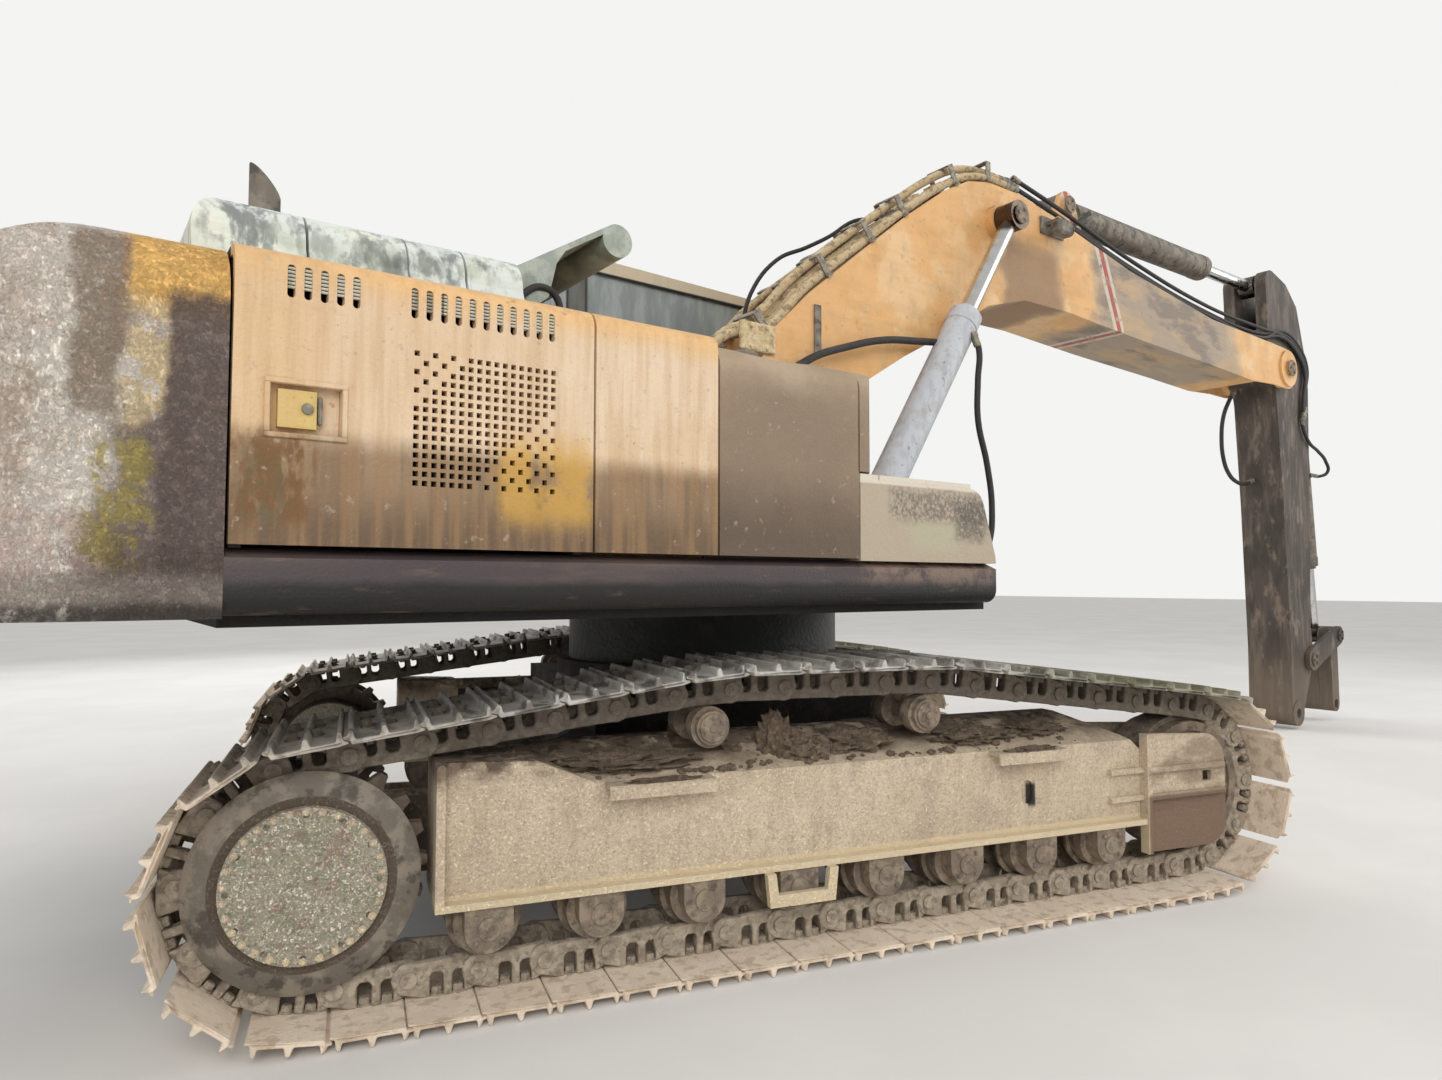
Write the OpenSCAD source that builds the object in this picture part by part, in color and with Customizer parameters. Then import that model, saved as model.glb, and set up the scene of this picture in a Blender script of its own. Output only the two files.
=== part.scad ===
// Crawler excavator, full size, stored with its upper structure turned a little on the tracks.
// Upper structure: +X forward, +Y left, +Z up. Origin on the ground under the swing centre.

/* [Undercarriage] */
// Turn of the tracks under the upper structure, clockwise seen from above
slew = 14.5; // [0:0.5:30]
// Distance from sprocket centre to idler centre
wheelbase = 3640; // [3600:5:3680]
// Distance between the two track centre lines
gauge = 2590; // [2560:5:2690]
// Width of a track shoe
shoe_w = 600; // [560:10:640]
// Number of shoes in one track
shoe_count = 44; // [43:1:45]
// Height of the sprocket and idler centres
wheel_z = 452; // [448:1:456]
// Radius of the circle of link pins round the sprocket and idler
pin_circle_r = 346; // [343:1:349]
// Thickness of a shoe plate
shoe_t = 14; // [10:1:16]
// Height of a grouser bar
grouser_h = 26; // [20:1:30]
// Height from a link pin to the shoe plate
link_out = 64; // [60:1:66]
// Height from a link pin to the rail face
link_in = 48; // [44:1:52]
// Thickness of one link rail
link_t = 46; // [36:1:50]
// Distance between the centres of the two link rails
rail_gap = 190; // [180:1:210]
// Number of bottom rollers on a side
roller_count = 8; // [7:1:8]
// Distance from the sprocket or idler centre to the nearest bottom roller
roller_end = 539; // [530:1:545]
// Tread radius of a bottom roller
roller_r = 104; // [98:1:106]
// Tread radius of a carrier roller
carrier_r = 74; // [68:1:78]
// Height of the carrier roller axles
carrier_z = 840; // [832:1:848]
// Places of the carrier rollers along the track
carrier_x = [-505, 400];
// Width of a side frame's box beam
beam_w = 330; // [300:5:350]
// Height of the underside of a side frame
beam_z = 348; // [340:1:354]
// Height of a side frame's outer top edge
eave_z = 683; // [670:1:695]
// Height of a side frame's inner top edge
ridge_z = 785; // [770:1:800]

/* [Turntable and deck] */
// Outer radius of the swing bearing
bearing_r = 690; // [640:5:740]
// Height of the top of the carbody
carbody_top = 985; // [970:1:1000]
// Height of the underside of the deck plate
deck_bottom = 1245; // [1240:1:1250]
// Width of the upper structure
house_w = 3000; // [2960:10:3040]
// Height of the underside of the side skirts
skirt_z = 1275; // [1260:5:1300]
// Height of the deck and of the panels' lower edges
deck_z = 1440; // [1430:1:1450]
// Radius of the skirts' rounded edges
skirt_r = 55; // [30:1:70]

/* [Counterweight and panels] */
// Radius swept by the counterweight
tail_r = 3400; // [3350:5:3500]
// Back of the side panels, where the counterweight starts
house_rear = -2440; // [-2460:1:-2420]
// Front of the rear doors
door_front = -1458; // [-1475:1:-1440]
// Front of the hydraulic tank panel
hydraulic_front = -989; // [-1000:1:-975]
// Front of the fuel tank panel
fuel_front = -340; // [-360:1:-320]
// Front of the tool box
box_front = 466; // [450:1:480]
// Height of the tool box above the deck
box_h = 308; // [300:1:350]
// Height of the top edge of the side panels
panel_top = 2190; // [2170:1:2210]
// Height of the engine hood
hood_top = 2432; // [2415:1:2450]
// Front end of the engine hood
hood_front = -1550; // [-1565:1:-1540]
// Thickness of the doors and covers
door_t = 28; // [22:1:34]
// Gap round a door
door_gap = 8; // [6:1:10]

/* [Grille] */
// Columns of square holes in the grille
grille_cols = 17; // [15:1:17]
// Rows of square holes in the grille
grille_rows = 15; // [13:1:15]
// Pitch of the square holes
grille_pitch = 25; // [22:0.5:25]
// Width of a square hole
grille_hole = 15; // [12:0.5:17]

/* [Cab] */
// Inner side of the cab, beside the boom
cab_y0 = 515; // [510:1:525]
// Outer side of the cab
cab_y1 = 1470; // [1450:1:1480]
// Back of the cab
cab_rear = -500; // [-515:1:-485]
// Length of the cab at its floor
cab_len = 1860; // [1830:5:1890]
// Height of the cab roof above the ground
cab_top = 3165; // [3150:1:3180]
// Thickness of the cab walls
cab_t = 42; // [36:1:48]
// Thickness of the window glass
glass_t = 8; // [6:1:10]

/* [Boom] */
// Forward place of the boom foot pin
foot_x = 50; // [40:1:60]
// Height of the boom foot pin
foot_z = 1800; // [1780:1:1820]
// Width over the boom's side plates
boom_w = 560; // [540:2:580]
// Forward place of the pin between boom and arm
tip_x = 6400; // [6380:1:6420]
// Height of the pin between boom and arm
tip_z = 3340; // [3325:1:3355]
// Thickness of the boom and arm plates
plate_t = 16; // [12:1:20]
// Radius of the boom foot boss
foot_r = 190; // [180:1:200]
// Radius of the boss at the boom tip
tip_r = 185; // [175:1:190]

/* [Arm and bucket linkage] */
// Width over the arm's side plates
arm_w = 380; // [370:2:384]
// Distance that the bucket pin bore lies ahead of the boom tip
bucket_pin_dx = 260; // [245:1:275]
// Height of the bucket pin bore at the arm tip
bucket_pin_z = 150; // [146:1:160]
// Radius of the arm tip boss
arm_tip_r = 118; // [112:1:122]
// Radius of the bucket pin bores
bucket_bore_r = 45; // [40:0.5:48]
// Distance that the rocker links' pin lies ahead of the boom tip
rocker_dx = 525; // [515:1:535]
// Height of the rocker links' pin on the arm
rocker_z = 640; // [630:1:650]
// Thickness of a rocker link
rocker_t = 40; // [34:1:44]
// Length of the link that carries the bucket
bucket_link_len = 680; // [660:1:690]

/* [Cylinders] */
// Outer radius of the boom cylinder barrels
boom_barrel_r = 98; // [90:1:100]
// Outer radius of the arm cylinder barrel
arm_barrel_r = 104; // [98:1:108]
// Outer radius of the bucket cylinder barrel
bucket_barrel_r = 88; // [82:1:92]
// Radius of the cylinder rods
rod_r = 52; // [48:1:56]
// Distance of the boom cylinders from the machine's middle
boom_cyl_y = 406; // [404:1:408]
// Radius of the linkage pins
pin_r = 50; // [44:1:54]

/* [Hidden] */
$fn = 48;
eps = 0.5;
fit_gap = 0.3;
pin_clear = 5;
half_w = house_w/2;
pin_z = wheel_z - pin_circle_r;
rail_z = pin_z + link_in;
shoe_z = pin_z - link_out - shoe_t;

// Pins of the working gear, as [x, z] in the plane of the boom
foot_pin = [foot_x, foot_z];
tip_pin = [tip_x, tip_z];
bucket_pin = [tip_x + bucket_pin_dx, bucket_pin_z];
rocker_pin = [tip_x + rocker_dx, rocker_z];
boom_cyl_base = [foot_x + 630, foot_z - 320];
boom_cyl_eye = [foot_x + 2070, foot_z + 1890];
arm_cyl_base = [foot_x + 3130, foot_z + 2330];
arm_cyl_eye = [tip_x - 70, tip_z + 820];
bucket_cyl_base = [tip_x + 810, tip_z + 60];
link_pin = rocker_pin + [605, 210];
bucket_link_pin = [link_pin[0] + 30, link_pin[1] - bucket_link_len];

// Points of an arc from angle a0 to a1, both included
function arc(c, r, a0, a1, n) =
    [for (i = [0:n]) [c[0] + r*cos(a0 + (a1 - a0)*i/n), c[1] + r*sin(a0 + (a1 - a0)*i/n)]];
function heading(a, b) = atan2(b[1] - a[1], b[0] - a[0]);
function unit(a) = [cos(a), sin(a)];
// Outline of a strap with a round boss at each end
function strap(a, ra, b, rb, n = 10) =
    let (h = heading(a, b), k = asin((ra - rb)/norm(b - a)))
    concat(arc(a, ra, h + 90 - k, h + 270 + k, n), arc(b, rb, h - 90 + k, h + 90 - k, n));
// Outline moved inwards by t, corner by corner, for outlines listed anticlockwise
function inset(p, t) =
    let (n = len(p))
    [for (i = [0:n - 1])
        let (a = p[(i + n - 1) % n], b = p[i], c = p[(i + 1) % n],
             u = (b - a)/norm(b - a), v = (c - b)/norm(c - b),
             m = [-u[1] - v[1], u[0] + v[0]])
        b + m*t*2/(m*m)];

// Extrudes a side view between two places across the machine
module across(y0, y1) {
    translate([0, y1, 0]) rotate([90, 0, 0]) linear_extrude(y1 - y0) children();
}
// Extrudes a rear view between two places along the machine
module along(x0, x1) {
    translate([x0, 0, 0]) rotate([90, 0, 90]) linear_extrude(x1 - x0) children();
}
module pin_across(c, r, y0, y1) {
    translate([c[0], y1, c[1]]) rotate([90, 0, 0]) cylinder(r = r, h = y1 - y0);
}
module block(x0, x1, y0, y1, z0, z1) {
    translate([x0, y0, z0]) cube([x1 - x0, y1 - y0, z1 - z0]);
}
module both_sides() {
    children();
    mirror([0, 1, 0]) children();
}
module undercarriage() {
    rotate([0, 0, -slew]) children();
}

// Track loop: the route of the link pins, then one shoe for each pitch
carrier_clear = 8;
carrier_pin_z = carrier_z + carrier_r + link_in + carrier_clear;
run_rise = carrier_pin_z - wheel_z - pin_circle_r;
lead_front = asin(run_rise/(wheelbase/2 - carrier_x[1]));
lead_rear = asin(run_rise/(wheelbase/2 + carrier_x[0]));
pin_route = concat(
    arc([wheelbase/2, wheel_z], pin_circle_r, -90, 90 - lead_front, 40),
    [[carrier_x[1], carrier_pin_z], [carrier_x[0], carrier_pin_z]],
    arc([-wheelbase/2, wheel_z], pin_circle_r, 90 + lead_rear, 270, 40),
    [[wheelbase/2, pin_z]]);
function run(p, i = 0) = i >= len(p) - 1 ? 0 : norm(p[i + 1] - p[i]) + run(p, i + 1);
function at(p, s, i = 0) =
    let (d = norm(p[i + 1] - p[i]))
    (s <= d || i >= len(p) - 2) ? p[i] + (p[i + 1] - p[i])*s/d : at(p, s - d, i + 1);
route_len = run(pin_route);
link_pitch = route_len/shoe_count;
link_pins = [for (i = [0:shoe_count - 1]) at(pin_route, (i + 0.5)*link_pitch)];
// Local profile of a shoe's outer face, as fractions of a pitch and heights above the link pins
plate_v = link_out + shoe_t;
tip_v = plate_v + grouser_h;
shoe_profile = [[0.03, tip_v], [0.09, tip_v], [0.13, plate_v], [0.44, plate_v], [0.5, tip_v],
                [0.56, plate_v], [0.87, plate_v], [0.91, tip_v], [0.97, tip_v], [1, link_out + 2]];
function on_link(i, u, v) =
    let (a = link_pins[i % shoe_count], b = link_pins[(i + 1) % shoe_count], h = heading(a, b))
    a + (b - a)*u + unit(h - 90)*v;
function bisect(i, v) =
    let (h = heading(link_pins[(i + shoe_count - 1) % shoe_count],
                     link_pins[(i + 1) % shoe_count]))
    link_pins[i % shoe_count] + unit(h - 90)*v;
shoe_outline = [for (i = [0:shoe_count - 1]) for (q = shoe_profile)
    q[0] == 1 ? bisect(i + 1, q[1]) : on_link(i, q[0], q[1])];
function loop_at(v) = [for (i = [0:shoe_count - 1]) bisect(i, v)];

module track() {
    across(-shoe_w/2, shoe_w/2) difference() {
        polygon(shoe_outline);
        polygon(loop_at(link_out));
    }
    for (s = [-1, 1])
        across(s*rail_gap/2 - link_t/2, s*rail_gap/2 + link_t/2) difference() {
            polygon(loop_at(link_out + 1));
            polygon(loop_at(-link_in));
        }
}
module track_left() {
    color("#8c8378") undercarriage() translate([0, gauge/2, 0]) track();
}
module track_right() {
    color("#8c8378") undercarriage() translate([0, -gauge/2, 0]) track();
}

// Side frames: a box beam under a pent top, taller at the drive's end, with a channel below
channel_y = beam_w/2 - 25;
flange_t = 22;
flange_w = 40;
beam_rear = -wheelbase/2 + 372;
beam_front = wheelbase/2 - 345;
step_x = [[-900, -520], [680, 1030]];
rib_z = [437, 553];
rib_h = 22;
rib_w = 24;
module side_frames() {
    o = beam_w/2;
    color("#a89a84") undercarriage() both_sides() translate([0, gauge/2, 0]) {
        difference() {
            union() {
                intersection() {
                    across(-o, o) polygon([[beam_rear, beam_z], [beam_front, beam_z], [beam_front, 640],
                        [beam_front - 70, 700], [beam_front - 240, ridge_z], [beam_rear, ridge_z]]);
                    along(beam_rear - 1, beam_front + 1) polygon([[-o, beam_z], [o, beam_z], [o, eave_z],
                        [-o + 70, ridge_z], [-o, ridge_z]]);
                }
                across(-o, o) polygon([[beam_rear, beam_z], [beam_rear + 540, beam_z],
                    [beam_rear + 520, eave_z], [beam_rear + 320, ridge_z - 15], [beam_rear, ridge_z]]);
            }
            // Slot in the outer side
            across(o - 14, o + 1) hull() for (z = [485, 525]) translate([869, z]) circle(r = 28);
            // Pockets under the carrier rollers
            for (x = carrier_x) block(x - 95, x + 95, -o + 10, o - 30, 735, ridge_z + 1);
            // Open underside that the rollers run in
            across(-channel_y, channel_y)
                translate([beam_rear - 1, beam_z - 1]) square([beam_front - beam_rear + 2, 52]);
        }
        // End plate towards the drive
        across(-o, o + flange_w) polygon(concat([[beam_rear, beam_z - flange_t], [beam_rear + 28, beam_z - flange_t],
            [beam_rear + 28, ridge_z - 14]], arc([beam_rear + 14, ridge_z - 14], 14, 0, 180, 4)));
        // Flanges along the bottom edges
        for (s = [-1, 1]) across(s > 0 ? channel_y : -o - flange_w, s > 0 ? o + flange_w : -channel_y)
            translate([beam_rear + 27, beam_z - flange_t]) square([beam_front - beam_rear - 27, flange_t + eps]);
        // Steps on the outer side
        for (q = step_x) along(q[0], q[1]) polygon([[o - 1, eave_z - 14], [o - 1, eave_z], [o + 66, eave_z - 2],
            [o + 74, eave_z - 10], [o + 74, eave_z - 46], [o + 64, eave_z - 46], [o + 64, eave_z - 14]]);
        // Ribs ahead of the slot
        for (z = rib_z) along(beam_front - 180, beam_front) polygon([[o - 1, z - rib_h/2], [o - 1, z + rib_h/2],
            [o + rib_w - 6, z + rib_h/2], [o + rib_w, z + rib_h/2 - 6], [o + rib_w, z - rib_h/2]]);
        // Inboard brackets of the carrier rollers
        for (x = carrier_x) across(-o - 30, -o + 5)
            polygon(concat([[x - 62, 740], [x + 62, 740]], arc([x, carrier_z], 48, 0, 180, 8)));
        // Yoke arms that hold the idler
        for (s = [-1, 1])
            across(s*(o - 19) - 19, s*(o - 19) + 19)
                translate([beam_front - 60, 400]) square([430, 150]);
    }
}

module carbody() {
    leg_y = gauge/2 - beam_w/2 - fit_gap;
    color("#8a7f70") undercarriage() {
        difference() {
            union() {
                translate([0, 0, 480]) cylinder(r = bearing_r + 60, h = carbody_top - 480);
                block(-760, 760, -760, 760, 520, 900);
                for (sx = [-1, 1]) for (sy = [-1, 1])
                    translate([0, 0, 430]) linear_extrude(300)
                        polygon([[sx*280, sy*500], [sx*760, sy*500], [sx*1120, sy*leg_y],
                                 [sx*520, sy*leg_y]]);
            }
            // Manhole for the swivel joint
            translate([0, 0, 400]) cylinder(r = 230, h = 700);
        }
        // Swivel joint in the middle
        translate([0, 0, 520]) cylinder(r = 120, h = 620);
        translate([0, 0, 520]) cylinder(r = 231, h = 30);
    }
}

sprocket_teeth = 21;
module sprockets() {
    tooth = 360/sprocket_teeth;
    root_r = pin_circle_r - 34;
    color("#6f675d") undercarriage() both_sides() translate([0, gauge/2, 0])
        across(-28, 28) translate([-wheelbase/2, wheel_z]) difference() {
            polygon([for (i = [0:sprocket_teeth - 1]) for (q = [[-0.32, root_r], [-0.12, pin_circle_r + 14],
                     [0.12, pin_circle_r + 14], [0.32, root_r]])
                q[1]*unit((i + q[0])*tooth)]);
            circle(r = 205);
        }
}

// Final drives: motor case inboard, planet case and its bolted cover outboard
module final_drives() {
    color("#b3a68f") undercarriage() both_sides() translate([-wheelbase/2, gauge/2, wheel_z]) {
        rotate([90, 0, 0]) difference() {
            union() {
                translate([0, 0, -168]) cylinder(r = 262, h = 27);
                translate([0, 0, -186]) cylinder(r = 232, h = 19);
                translate([0, 0, -142]) cylinder(r = 294, h = 18);
                translate([0, 0, -125]) cylinder(r = 268, h = 92);
                translate([0, 0, -123]) cylinder(r = 204.7, h = 343);
                translate([0, 0, 60]) cylinder(r = 240, h = 190);
            }
            for (i = [0:11]) rotate([0, 0, i*30])
                translate([210, 0, -187]) cylinder(r = 9, h = 12);
        }
        // Motor mounting arm to the side frame
        translate([150, -250, -95]) cube([300, 250 - beam_w/2 - fit_gap, 245]);
    }
}

module idlers() {
    idler_r = (pin_circle_r - link_in)*cos(asin(link_pitch/2/pin_circle_r)) - 2*fit_gap;
    color("#7a7268") undercarriage() both_sides() translate([wheelbase/2, gauge/2, wheel_z])
        rotate([90, 0, 0]) difference() {
            union() {
                translate([0, 0, -68]) cylinder(r = idler_r + 24, h = 136);
                for (s = [-1, 1]) translate([0, 0, s*96 - 26]) cylinder(r = idler_r, h = 52);
                cylinder(r = 70, h = beam_w - 76 - 2*fit_gap, center = true);
            }
            for (s = [-1, 1]) translate([0, 0, s*110 - 14]) difference() {
                cylinder(r = 240, h = 30, center = true);
                cylinder(r = 110, h = 31, center = true);
            }
        }
}

module roller(r, face) {
    rotate([90, 0, 0]) {
        for (s = [-1, 1]) {
            translate([0, 0, s*rail_gap/2 - 32]) cylinder(r = r, h = 64);
            translate([0, 0, s*(rail_gap/2 - 42) - 8]) cylinder(r = r + 18, h = 16);
        }
        cylinder(r = r - 26, h = rail_gap, center = true);
        cylinder(r = 42, h = 2*face, center = true);
    }
}
roller_pitch = (wheelbase - 2*roller_end)/(roller_count - 1);
roller_x = [for (i = [0:roller_count - 1]) (i - (roller_count - 1)/2)*roller_pitch];
cap_r = 76;
cap_y0 = 126;
cap_y1 = 196;
cap_top = beam_z - flange_t - rail_z - roller_r - 2*fit_gap;
module bottom_rollers() {
    color("#6b645a") undercarriage() both_sides() for (x = roller_x)
        translate([x, gauge/2, rail_z + roller_r + fit_gap]) {
            roller(roller_r, 152);
            // End caps that bolt up to the side frame
            for (s = [-1, 1]) intersection() {
                y = s > 0 ? cap_y0 : -cap_y1;
                union() {
                    pin_across([0, 0], cap_r, y, y + cap_y1 - cap_y0);
                    translate([-cap_r, y, 0]) cube([2*cap_r, cap_y1 - cap_y0, cap_r]);
                }
                translate([-cap_r - 1, y - 1, -cap_r - 1])
                    cube([2*cap_r + 2, cap_y1 - cap_y0 + 2, cap_top + cap_r + 1]);
            }
        }
}
module carrier_rollers() {
    color("#6b645a") undercarriage() both_sides() for (x = carrier_x)
        translate([x, gauge/2, carrier_z]) rotate([90, 0, 0]) for (s = [-1, 1]) {
            translate([0, 0, s*(rail_gap/2 + 4) - 30]) cylinder(r = carrier_r, h = 60);
            translate([0, 0, s*(rail_gap/2 + 46) - 12]) cylinder(r = carrier_r - 14, h = 24);
            translate([0, 0, -100]) cylinder(r = 30, h = beam_w/2 - 5 - fit_gap + 100);
        }
}
// Guards: a pair of open yokes round a roller of the middle, and the ribbed guards beside the idler
guard_x0 = beam_front + fit_gap;
guard_x1 = wheelbase/2 + 140;
guard_outline = concat([[guard_x0, 200], [guard_x1 - 90, 200]], arc([guard_x1 - 70, 290], 70, -60, 0, 4),
    arc([guard_x1 - 130, 560], 130, 0, 80, 7), [[guard_x0, 708]]);
module roller_guards() {
    yoke_x = roller_x[3];
    yoke_z = beam_z - flange_t - fit_gap;
    o = beam_w/2 + fit_gap;
    color("#9b8e79") undercarriage() both_sides() translate([0, gauge/2, 0]) {
        for (s = [-1, 1]) across(s*215 - 14, s*215 + 14) difference() {
            polygon([[yoke_x - 142, yoke_z], [yoke_x - 130, 208], [yoke_x + 130, 208], [yoke_x + 142, yoke_z]]);
            polygon([[yoke_x - 108, yoke_z + 1], [yoke_x - 98, 250], [yoke_x + 98, 250],
                     [yoke_x + 108, yoke_z + 1]]);
        }
        for (s = [-1, 1]) mirror([0, s > 0 ? 0 : 1, 0]) {
            across(o, o + 18) difference() {
                polygon(guard_outline);
                translate([guard_x1 - 145, 480]) square([60, 46]);
            }
            // Upright rib at the back and long ribs towards the front
            across(o + 17, o + 44) polygon([[guard_x0, 200], [guard_x0 + 26, 200], [guard_x0 + 26, 708],
                                            [guard_x0, 708]]);
            for (z = rib_z) along(guard_x0 + 25, guard_x1 - 24) polygon([[o + 17, z - rib_h/2],
                [o + 17, z + rib_h/2], [o + 36, z + rib_h/2], [o + 42, z + rib_h/2 - 6], [o + 42, z - rib_h/2]]);
        }
    }
}

module swing_bearing() {
    color("#4a4640") {
        translate([0, 0, carbody_top + fit_gap]) difference() {
            cylinder(r = bearing_r, h = deck_bottom - carbody_top - 2*fit_gap);
            translate([0, 0, -1]) cylinder(r = bearing_r - 130, h = 300);
        }
    }
}

// Deck: bottom plate, two main beams that carry the boom foot, and cross members
foot_out = boom_w/2 + 42;
beam_web = 32;
module deck() {
    deck_outline = concat([[box_front + 30, -half_w + 90], [box_front + 30, -foot_out - 130]],
        [[foot_x + 560, -foot_out - 130], [foot_x + 560, foot_out + 130],
         [cab_rear + cab_len + 20, foot_out + 130], [cab_rear + cab_len + 20, half_w - 90],
         [house_rear + fit_gap, half_w - 90], [house_rear + fit_gap, -half_w + 90]]);
    color("#4b4238") difference() {
        union() {
            translate([0, 0, deck_bottom]) linear_extrude(30) polygon(deck_outline);
            for (s = [-1, 1]) {
                across(s*foot_out - beam_web/2, s*foot_out + beam_web/2) difference() {
                    polygon(concat([[house_rear + fit_gap, deck_bottom], [foot_x + 640, deck_bottom],
                            [foot_x + 830, 1300]],
                        arc(boom_cyl_base, 130, -20, 110, 6),
                        [[foot_x + 330, foot_z - 270]],
                        arc(foot_pin, foot_r, -10, 170, 10),
                        [[foot_x - 620, deck_z - 60], [house_rear + fit_gap, deck_z - 60]]));
                    translate(foot_pin) circle(r = 70);
                }
                // Outer ears of the boom cylinder feet
                across(s*(boom_cyl_y + 84) - 12, s*(boom_cyl_y + 84) + 12)
                    polygon(concat([[foot_x + 380, deck_bottom], [foot_x + 640, deck_bottom],
                            [foot_x + 800, 1340]], arc(boom_cyl_base, 100, -20, 150, 8)));
            }
            for (s = [-1, 1]) {
                pin_across(boom_cyl_base, pin_r - fit_gap, s > 0 ? foot_out : -boom_cyl_y - 96,
                           s > 0 ? boom_cyl_y + 96 : -foot_out);
            }
            pin_across(foot_pin, 70 + eps, -foot_out - beam_web/2 - 12, foot_out + beam_web/2 + 12);
            // Cross members
            for (x = [house_rear + 40, -1200, -420])
                block(x, x + 60, -half_w + 100, half_w - 100, deck_bottom, deck_z - 60);
        }
    }
}

module skirt_profile(side) {
    y1 = side*half_w;
    y0 = side*(half_w - 88);
    c = side*(half_w - skirt_r);
    a0 = side > 0 ? 0 : 180;
    polygon(concat([[y0, deck_z - fit_gap], [y0, skirt_z + 6], [c, skirt_z]],
        arc([c, skirt_z + skirt_r], skirt_r, -90, side > 0 ? 0 : -180, 8),
        [[y1, deck_z - 24], [c, deck_z - fit_gap]]));
}
module side_skirts() {
    color("#4f4336") {
        along(house_rear + fit_gap, box_front) skirt_profile(-1);
        along(house_rear + fit_gap, cab_rear + cab_len + 20) skirt_profile(1);
    }
}

// Counterweight: the swept tail, rounded at its corners and its upper edge, with a top that slopes aft
cw_bottom = deck_bottom + 25;
tail_corner = 500;
tail_edge = 150;
tail_slope = 30;
slope_r = 420;
slope_x = -2650;
tail_plan = concat([[house_rear + 300, half_w]],
    arc([-tail_r + 700, half_w - tail_corner], tail_corner, 90, 165, 8), arc([0, 0], tail_r, 163, 197, 10),
    arc([-tail_r + 700, -half_w + tail_corner], tail_corner, 195, 270, 8), [[house_rear + 300, -half_w]]);
module counterweight() {
    steps = 5;
    color("#a3937c") difference() {
        intersection() {
            hull() {
                translate([0, 0, cw_bottom]) linear_extrude(1) polygon(tail_plan);
                for (k = [0:steps])
                    translate([0, 0, panel_top - tail_edge*(1 - sin(90*k/steps)) - 1]) linear_extrude(1)
                        polygon(inset(tail_plan, tail_edge*(1 - cos(90*k/steps))));
            }
            across(-half_w - 1, half_w + 1) polygon(concat([[house_rear, cw_bottom - 1], [-tail_r - 1, cw_bottom - 1]],
                arc([-tail_r + 160, panel_top - 460], 161, 180, 90 + tail_slope, 5),
                arc([slope_x, panel_top - slope_r + 1], slope_r, 90 + tail_slope, 90, 5),
                [[house_rear, panel_top + 1]]));
        }
        // Recesses round the lifting eyes
        for (s = [-1, 1]) translate([-2740, s*900, panel_top - 60]) cylinder(r = 75, h = 61, $fn = 24);
    }
}

module engine() {
    color("#3f3f3e") block(house_rear + 60, door_front - 70, -half_w + 160, half_w - 160,
                           deck_z - 60 + fit_gap, panel_top - 60);
}

// Panel shapes: upright side with a rounded top edge that turns in over the top
edge_r = 60;
ledge = 250;
lip = 76;
module panel_profile(side) {
    o = side*half_w;
    i = side*(half_w - door_t);
    c = side*(half_w - edge_r);
    e = side*(half_w - lip);
    polygon(concat([[i, deck_z + door_gap], [o, deck_z + door_gap]],
        arc([c, panel_top - edge_r], edge_r, side > 0 ? 0 : 180, 90, 6),
        [[e, panel_top], [e, panel_top - door_t]],
        arc([c, panel_top - edge_r], edge_r - door_t, 90, side > 0 ? 0 : 180, 6)));
}
module hydraulic_tank() {
    color("#a08a5c") {
        along(door_front + door_gap, hydraulic_front - door_gap/2) panel_profile(-1);
        block(door_front + door_gap, hydraulic_front - door_gap/2, -half_w + door_t - 1, -620,
              deck_z + door_gap, panel_top - door_t + 1);
        block(door_front + door_gap, hydraulic_front - door_gap/2, -half_w + 92, -620,
              deck_z - 60 + fit_gap, deck_z + door_gap + 1);
    }
}
// Fuel tank: its top dips a little, and its front corner is rounded
lid_t = 19;
nose_x = fuel_front + 100;
module fuel_tank() {
    x0 = hydraulic_front + door_gap/2;
    z0 = deck_z - 60 + fit_gap;
    zn = deck_z + box_h + lid_t + door_gap;
    corner = 75;
    color("#a08a5c") difference() {
        intersection() {
            across(-half_w, -620) polygon(concat([[x0, z0], [fuel_front, z0], [fuel_front, zn], [nose_x, zn]],
                arc([nose_x - 60, panel_top - 79], 60, 0, 90, 6),
                [[fuel_front - 150, panel_top - 24], [fuel_front - 260, panel_top - 40],
                 [fuel_front - 370, panel_top - 48], [fuel_front - 500, panel_top - 40], [x0, panel_top - 22]]));
            along(x0 - 1, nose_x + 1) polygon(concat([[-620, panel_top], [-620, z0], [-half_w, z0]],
                arc([-half_w + 85, panel_top - 110], 85, 180, 90, 7)));
            linear_extrude(panel_top) polygon(concat([[nose_x, -620], [x0, -620], [x0, -half_w]],
                arc([nose_x - corner, -half_w + corner], corner, 270, 360, 7)));
        }
        // Seam between the panel and the nose
        block(fuel_front - 4, fuel_front + 4, -half_w - 1, -half_w + 10, zn - 1, panel_top);
        // Step in the skin below the deck line, where the skirt sits
        block(hydraulic_front, fuel_front + 1, -half_w - 1, -half_w + 92, deck_z - 61, deck_z + door_gap);
    }
}
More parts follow.
